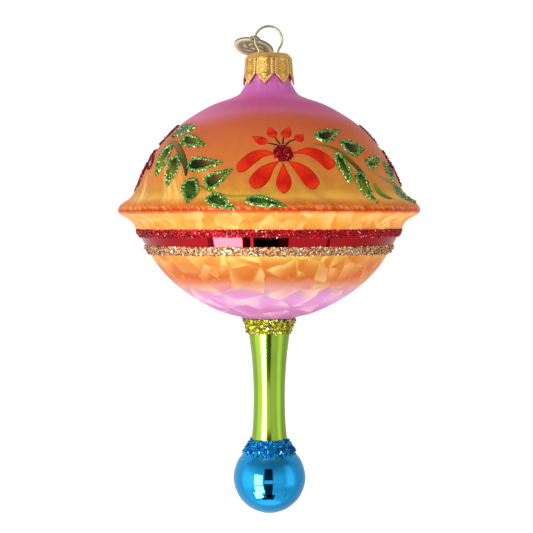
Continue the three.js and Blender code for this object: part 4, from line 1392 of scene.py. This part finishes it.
def cap():
    verts, faces, relief = [], [], []

    def add(part_verts, part_faces, part_relief):
        start = sum(map(len, verts))
        verts.append(part_verts)
        faces.extend(group + start for group in part_faces)
        relief.append(np.broadcast_to(part_relief, len(part_verts)))

    x, z, radius, height = petal_sheet()
    # The relief tone carries painted light: raised relief lighter as painted highlight, the inner
    # skin darker as painted shade.
    light = np.clip(0.28 + height / 0.30 * 0.7, 0, 1).ravel()
    light = np.concatenate([light, np.full(height.size, 0.15)])
    rng = np.random.default_rng(5)
    for petal in range(CAP_PETALS):
        # each petal curls in or out a hair towards its tip
        flare = rng.uniform(-0.08, 0.12) * np.clip((149.5 - z) / 7.0, 0, 1) ** 1.5
        angle = math.radians(FIRST_PETAL_AZIMUTH + 45.0 * petal) + x / radius
        outer = around(radius + height + flare, angle, z).reshape(-1, 3)
        inner = around(radius - CAP_SHEET + flare + 0.35 * height, angle, z).reshape(-1, 3)
        add(np.vstack([outer, inner]), petal_faces(z[:, 0]), light)

    count = CAP_PETALS * CAP_COLUMNS
    angle = np.radians(FIRST_PETAL_AZIMUTH - 22.5 + np.arange(count) * 360.0 / count)
    # The third value of each skin is its painted light tone: the underside darker, painted shade.
    skins = ((CAP_OVER, 1, 0.45), (CAP_UNDER, -1, 0.15))  # line, winding, relief
    for line, winding, level in skins:
        quads = grid_quads(len(line), count, wrap_columns=True, across=True)
        ring = around(line[:, 1:], angle, line[:, :1]).reshape(-1, 3)
        add(ring, [quads[:, ::winding]], level)
    for line, winding, level in skins:
        disc, triangles = cap_disc(*line[-1], angle)
        add(disc, [triangles[:, ::winding]], level)
    # the walls of the wire holes are darker, painted shade
    for hole in wire_holes():
        wall = [np.column_stack([hole, np.full(len(hole), line[-1, 0])]) for line, *_ in skins]
        quads = grid_quads(2, len(hole), wrap_columns=True, across=True)
        add(np.vstack(wall), [quads], 0.2)

    material = gilt(
        "cap_gilt", high=(255, 236, 160), middle=(242, 190, 98), low=(146, 88, 26),
        rough=0.38, metallic=0.82,
    )
    build(
        "crown_cap", np.vstack(verts), faces, [material], body="cap", replaces=True,
        attributes={"relief": np.concatenate(relief)}, weld=0.002, sharp=50,
    )


cap()


# ------------------------------------------------------------------ hanger wire
RING_Z, RING_RADIUS, WIRE_RADIUS = 157.56, 4.5, 0.375
RING_OPEN = 38.0  # degrees below level where the ring ends on each side
# (x, z) of the +X leg, downwards from the ring
LEG_PATH = [
    (3.22, 154.0), (3.12, 153.3), (3.1, 152.6), (3.15, 151.5), (3.4, 149.0), (3.9, 145.5),
    (4.5, 141.5), (5.0, 137.5), (5.25, 134.3),
]


def champagne():
    material, tree = new_material("wire_champagne")
    place = position(tree)
    grain = place.noise(3.0, detail=3.0, rough=0.7)
    tarnish = place.noise(0.35).step(0.3, 0.7)
    surface(
        tree, Base_Color=tarnish.mix(srgb(208, 196, 158), srgb(184, 170, 130)),
        Metallic=0.9, Roughness=0.24 + grain * 0.16,
        Normal=grain.bump(strength=0.06, distance=0.00004),
    )
    return material


def wire():
    turn = np.radians(np.linspace(90, -RING_OPEN, 9))
    ring = np.stack([RING_RADIUS * np.cos(turn), RING_Z + RING_RADIUS * np.sin(turn)], 1)
    half = np.vstack([ring, LEG_PATH])
    line = catmull(np.vstack([half[:0:-1] * [-1, 1], half]), 24)
    line = resample(line, np.linspace(0, lengths(line)[-1], 420))
    side = side_directions(line)
    radius = np.full(len(line), WIRE_RADIUS)
    radius[:4] *= [0.08, 0.5, 0.8, 0.95]  # rounded ends
    radius[-4:] *= [0.95, 0.8, 0.5, 0.08]
    count = 20
    turn = np.arange(count) * TAU / count
    reach = radius[:, None] * np.cos(turn)
    x = line[:, :1] + side[:, :1] * reach
    z = line[:, 1:] + side[:, 1:] * reach
    verts = np.stack([x, radius[:, None] * np.sin(turn), z], -1).reshape(-1, 3)
    quads = grid_quads(len(line), count, wrap_columns=True)
    last = (len(line) - 1) * count
    ends = [list(range(count)), list(range(last, last + count))[::-1]]
    build(
        "hanger_wire", verts, [quads, ends], [champagne()], body="hanger",
        replaces=True, weld=0.0005,
    )


wire()


# ------------------------------------------------------------------ hang tag
# A disc with an eye above it, in its own flat x (right) and y (towards the eye)
TAG_RADIUS = 6.75
EYE_Y, EYE_HOLE, EYE_RADIUS = 6.9, 0.78, 1.6
EYE_PLACE = np.array([-4.48, 0, 158.0])
TAG_ROLL, TAG_LEAN = math.radians(12), math.radians(19.9)
TAG_PITCH = 0.17
RIM_POINTS, EYE_POINTS = 300, 36


def eye_distance(points):
    return np.hypot(points[:, 0], points[:, 1] - EYE_Y)


def tag_body(points):
    """Distance inside the disc and eye, softly joined."""
    disc = TAG_RADIUS - np.hypot(points[:, 0], points[:, 1])
    eye = EYE_RADIUS - eye_distance(points)
    soft = 0.5
    share = np.clip(0.5 + 0.5 * (disc - eye) / soft, 0, 1)
    return disc * share + eye * (1 - share) + soft * share * (1 - share)


def tag_inside(points):
    """Distance to the outline or the hole, above 0 in the metal."""
    return np.minimum(tag_body(points), eye_distance(points) - EYE_HOLE)


def tag_rim():
    """The outline, found by halving along rays from the disc's centre."""
    turn = np.arange(RIM_POINTS) * TAU / RIM_POINTS
    ray = np.stack([np.sin(turn), np.cos(turn)], 1)
    low, high = np.zeros(RIM_POINTS), np.full(RIM_POINTS, 9.5)
    for _ in range(30):
        middle = (low + high) / 2
        inside = tag_body(ray * middle[:, None]) > 0
        low, high = np.where(inside, middle, low), np.where(inside, high, middle)
    rim = close(ray * low[:, None])
    return resample(rim, np.linspace(0, lengths(rim)[-1], RIM_POINTS + 1))[:-1]


def tag_flat():
    """Flat points and triangles of the tag."""
    x = np.arange(-TAG_RADIUS, TAG_RADIUS + TAG_PITCH, TAG_PITCH)
    y = np.arange(-TAG_RADIUS, EYE_Y + EYE_RADIUS + TAG_PITCH, TAG_PITCH * 0.866)
    grid_x, grid_y = np.meshgrid(x, y)
    grid_x = grid_x + (np.arange(len(y))[:, None] % 2) * TAG_PITCH / 2
    points = np.stack([grid_x.ravel(), grid_y.ravel()], 1)
    points = points[tag_inside(points) > 0.10]
    turn = np.arange(EYE_POINTS) * TAU / EYE_POINTS
    hole = np.stack([EYE_HOLE * np.cos(turn), EYE_Y + EYE_HOLE * np.sin(turn)], 1)
    edges = loop_edges(0, RIM_POINTS) + loop_edges(RIM_POINTS, EYE_POINTS)
    points, faces = triangulate(np.vstack([tag_rim(), hole, points]), edges, 1e-6)
    return points, faces[eye_distance(points[faces].mean(1)) > EYE_HOLE * 0.995]


def tag_relief(points, flower):
    """Height of one side: a rosette of eight petals, or scrolls round a star."""
    x, y = points.T
    radius, angle, eye = np.hypot(x, y), np.arctan2(y, x), eye_distance(points)
    height = 0.30 + 0.17 / (1 + np.exp(-(radius - 5.55) / 0.10))
    height += ridge(radius - 6.15, 0.2, 0.05)
    for k in range(40):
        turn = TAU * k / 40
        bead = np.hypot(x - 5.15 * math.cos(turn), y - 5.15 * math.sin(turn))
        height += ridge(bead, 0.22, 0.14) * (eye > 1.7)
    height += ridge(radius - 4.6, 0.09, 0.06)
    if flower:
        petals = np.abs(np.cos(4 * angle)) ** 1.5
        height += 0.17 * np.exp(-(((radius - 2.5) / 1.15) ** 4)) * petals
        height += ridge(radius, 0.6, 0.22) + ridge(radius - 1.0, 0.12, 0.08)
        height += ridge(radius - 3.9, 0.22, 0.10) * (0.5 + 0.5 * np.cos(24 * angle))
    else:
        scrolls = (0.5 + 0.5 * np.cos(6 * angle + 2.4 * radius)) ** 2
        height += 0.13 * np.exp(-(((radius - 3.0) / 0.9) ** 4)) * scrolls
        height += 0.16 * np.clip(1 - radius / (1.1 + 0.5 * np.cos(5 * angle)), 0, 1)
    clear = np.clip((eye - EYE_RADIUS + 0.25) / 0.4, 0, 1)
    height = height * clear + 0.34 * (1 - clear)
    edge = np.clip(np.clip(tag_inside(points), 0, None) / 0.34, 0, 1)
    return height * (0.42 + 0.58 * np.sqrt(np.clip(1 - (1 - edge) ** 2, 0, 1)))


def tag():
    points, faces = tag_flat()
    over, under = tag_relief(points, flower=False), tag_relief(points, flower=True)
    count = len(points)
    edges = [(a, b) for p, q, r in faces.tolist() for a, b in ((p, q), (q, r), (r, p))]
    known = set(edges)
    walls = [[a, a + count, b + count, b] for a, b in edges if (b, a) not in known]

    right = np.array([math.cos(TAG_ROLL), 0, -math.sin(TAG_ROLL)])
    rise = np.array([math.sin(TAG_ROLL), 0, math.cos(TAG_ROLL)])
    ahead = np.array([0, -math.cos(TAG_LEAN), 0]) + rise * math.sin(TAG_LEAN)
    normal = np.cross(right, ahead)
    flat = np.vstack([points, points])
    verts = flat[:, :1] * right + flat[:, 1:] * ahead + EYE_PLACE - ahead * EYE_Y
    verts += np.concatenate([over, -under])[:, None] * normal
    pewter = gilt(
        "tag_pewter", high=(246, 246, 212), middle=(208, 206, 166), low=(126, 120, 86),
        rough=0.46, metallic=0.35,
    )
    # the relief tone is painted light: raised parts lighter as painted highlight, hollows darker
    # as painted shade
    relief = np.clip((np.concatenate([over, under]) - 0.26) / 0.26, 0, 1)
    build(
        "hang_tag", verts, [faces, faces[:, ::-1] + count, walls], [pewter],
        body="tag", replaces=True, attributes={"relief": relief}, sharp=60,
    )


tag()


# ------------------------------------------------------------------ floor
def studio_floor(size=14.0, z=-0.42, cells=8):
    mesh = bpy.data.meshes.new("studio_floor")
    places = [(i / cells - 0.5) * size for i in range(cells + 1)]
    verts = [(x, y, 0) for x in places for y in places]
    mesh.from_pydata(verts, [], grid_quads(cells + 1, cells + 1).tolist())
    floor = bpy.data.objects.new("studio_floor", mesh)
    floor.location = (0, 0, z)
    scene.collection.objects.link(floor)
    material, tree = new_material("studio_white")
    surface(
        tree, Base_Color=(0.94, 0.94, 0.94, 1), Roughness=0.85, Emission_Color=(1, 1, 1, 1),
        Emission_Strength=0.75,
    )
    mesh.materials.append(material)
    floor.visible_glossy = False
    floor.visible_shadow = False


studio_floor()


# ------------------------------------------------------------------ lights
def area(
    name, azimuth, elevation, distance, size, watts, glossy=False, diffuse=True,
    target=(0, 0, 0.08),
):
    """A rectangular light that faces the target."""
    light = bpy.data.lights.new(name, "AREA")
    light.shape = "RECTANGLE"
    light.size, light.size_y = size
    light.energy = watts
    lamp = bpy.data.objects.new(name, light)
    turn, rise = math.radians(azimuth), math.radians(elevation)
    level = math.cos(rise)
    away = Vector((math.sin(turn) * level, -math.cos(turn) * level, math.sin(rise)))
    lamp.location = Vector(target) + away * distance
    lamp.rotation_mode = "QUATERNION"
    lamp.rotation_quaternion = away.to_track_quat("Z", "Y")
    lamp.visible_camera = False
    lamp.visible_glossy, lamp.visible_diffuse = glossy, diffuse
    scene.collection.objects.link(lamp)
    return lamp


PANE_DISTANCE = 1.2
on_vessel = bpy.data.collections.new("panes_on_glass")
on_vessel.objects.link(bpy.data.objects["glass_vessel_finish"])
on_trims = bpy.data.collections.new("panes_on_trims")
for item in made:
    if item.name != "glass_vessel_finish" and "enamel" not in item.name:
        on_trims.objects.link(item)


def window_pane(name, azimuth, elevation, size, target):
    """A pane seen only in reflections: strong in the glass, weaker on glitter and metal."""
    for group, radiance in ((on_vessel, 22.0), (on_trims, 5.0)):
        lamp = area(
            f"{name}_{group.name}", azimuth, elevation, PANE_DISTANCE, size,
            watts=radiance * size[0] * size[1] * math.pi, glossy=True, diffuse=False,
            target=target,
        )
        lamp.light_linking.receiver_collection = group


def pane_size(low, high):
    """Size of a pane that spans two angles at the pane distance."""
    return 2 * PANE_DISTANCE * math.tan(math.radians((high - low) / 2))


# two panes of a tall window at the front left (-X), and a low one
PANE_AZIMUTHS = (-49.0, -23.5)
PANE_ELEVATIONS = ((-17.0, 16.0), (-44.5, -22.0))
for i, elevations in enumerate(PANE_ELEVATIONS):
    window_pane(
        f"window_pane_{i}", sum(PANE_AZIMUTHS) / 2, sum(elevations) / 2,
        size=(pane_size(*PANE_AZIMUTHS), pane_size(*elevations)), target=(0, 0, 0.02),
    )
window_pane("window_low", -48.5, -52, size=(0.42, 0.33), target=(0, 0, 0.091))
area("soft_key", azimuth=-42, elevation=14, distance=1.1, size=(0.75, 0.9), watts=4.6)
area("soft_fill", azimuth=62, elevation=12, distance=1.3, size=(0.7, 0.9), watts=0.8)
area("soft_top", azimuth=-10, elevation=68, distance=1.2, size=(1.1, 1.1), watts=2.6)


# ------------------------------------------------------------------ world
# Patches of the tent: azimuth from and to, elevation from and to, softness of the edge (all in
# degrees), and the light added or, below 0, the share taken away
WIDE_PATCHES = ((58, 84, -22, 34, 9, 0.35), (14.5, 44, -50, 24, 0.8, 0.05))
SHARP_PATCHES = (
    (-17.6, 11.2, -58, 32, 0.9, -0.94),
    (-16.6, 10.4, -11.0, 3.0, 0.6, 0.62),
    (14, 44, -17, -15, 0.5, -0.4),
    (-40, 24, -67, -50, 1.0, -0.94),
    (-23, -20, -58, -53, 0.8, 1.5),
    (-71.5, -65, -60, -44, 0.8, -0.6),
    (68.5, 71.5, -52, -42, 0.6, -0.7),
)


def studio_tent():
    world = bpy.data.worlds.new("studio_tent")
    scene.world = world
    world.use_nodes = True
    tree = world.node_tree
    tree.nodes.clear()
    x, y, z = source(tree, "ShaderNodeTexCoord", "Generated").vector("NORMALIZE").xyz()
    azimuth = x.arctan2(y * -1.0) * (180 / math.pi)
    elevation = z.arcsine() * (180 / math.pi)

    def patched(room, patches):
        for left, right, low, high, soft, amount in patches:
            box = azimuth.step(left - soft, left + soft) * azimuth.step(right + soft, right - soft)
            box = box * elevation.step(low - soft, low + soft)
            box = box * elevation.step(high + soft, high - soft)
            room = room + box * amount if amount > 0 else room * (1.0 - box * -amount)
        return room

    room = 0.52 + x.step(0.2, -0.9) * 0.26
    room = room + z.step(-0.86, -0.97) * 0.45 + z.step(-0.5, -0.8) * 0.14
    room = patched(room, WIDE_PATCHES)
    room = room * elevation.step(15.0, 40.0, low=1.0, high=0.55)
    room = patched(room, SHARP_PATCHES)
    side = azimuth.step(-128, -66) * azimuth.step(-50, -52)
    room = room + side * elevation.step(-46, -26) * elevation.step(28, 4) * 0.2
    glossy = source(tree, "ShaderNodeLightPath", "Is Glossy Ray")
    level = glossy * elevation.step(-36, -16) * elevation.step(24, 8)
    room = room * (1.0 + level * 0.28)  # reflections see a brighter middle

    back = y.step(-0.02, 0.22)
    tent = room * (1.0 - back) + back * (0.5 + x.step(0.5, -0.5) * 0.2)
    camera = source(tree, "ShaderNodeLightPath", "Is Camera Ray")
    strength = (camera * 1.03).maximum(tent * (1.0 - camera))
    inputs = {"Color": (1, 1, 1, 1), "Strength": strength}
    background = add_node(tree, "ShaderNodeBackground", inputs)
    output = tree.nodes.new("ShaderNodeOutputWorld")
    tree.links.new(background.outputs[0], output.inputs["Surface"])


studio_tent()


# ------------------------------------------------------------------ camera and picture
CAMERA_PITCH, CAMERA_ROLL = math.radians(1.864), math.radians(-0.12)  # pitch is downwards
camera_data = bpy.data.cameras.new("camera")
camera_data.lens, camera_data.sensor_width = 103.34, 36.0
camera_data.clip_start, camera_data.clip_end = 0.01, 30
camera = bpy.data.objects.new("camera", camera_data)
scene.collection.objects.link(camera)
scene.camera = camera
camera.location = (-0.00085, -0.509102, 0.099)
look = Vector((0, math.cos(CAMERA_PITCH), -math.sin(CAMERA_PITCH)))
roll = Matrix.Rotation(CAMERA_ROLL, 3, "Z").to_quaternion()
camera.rotation_mode = "QUATERNION"
camera.rotation_quaternion = look.to_track_quat("-Z", "Y") @ roll

scene.view_settings.view_transform = "Standard"
scene.view_settings.look = "None"
scene.view_settings.exposure = 0.0
scene.view_settings.gamma = 1.0
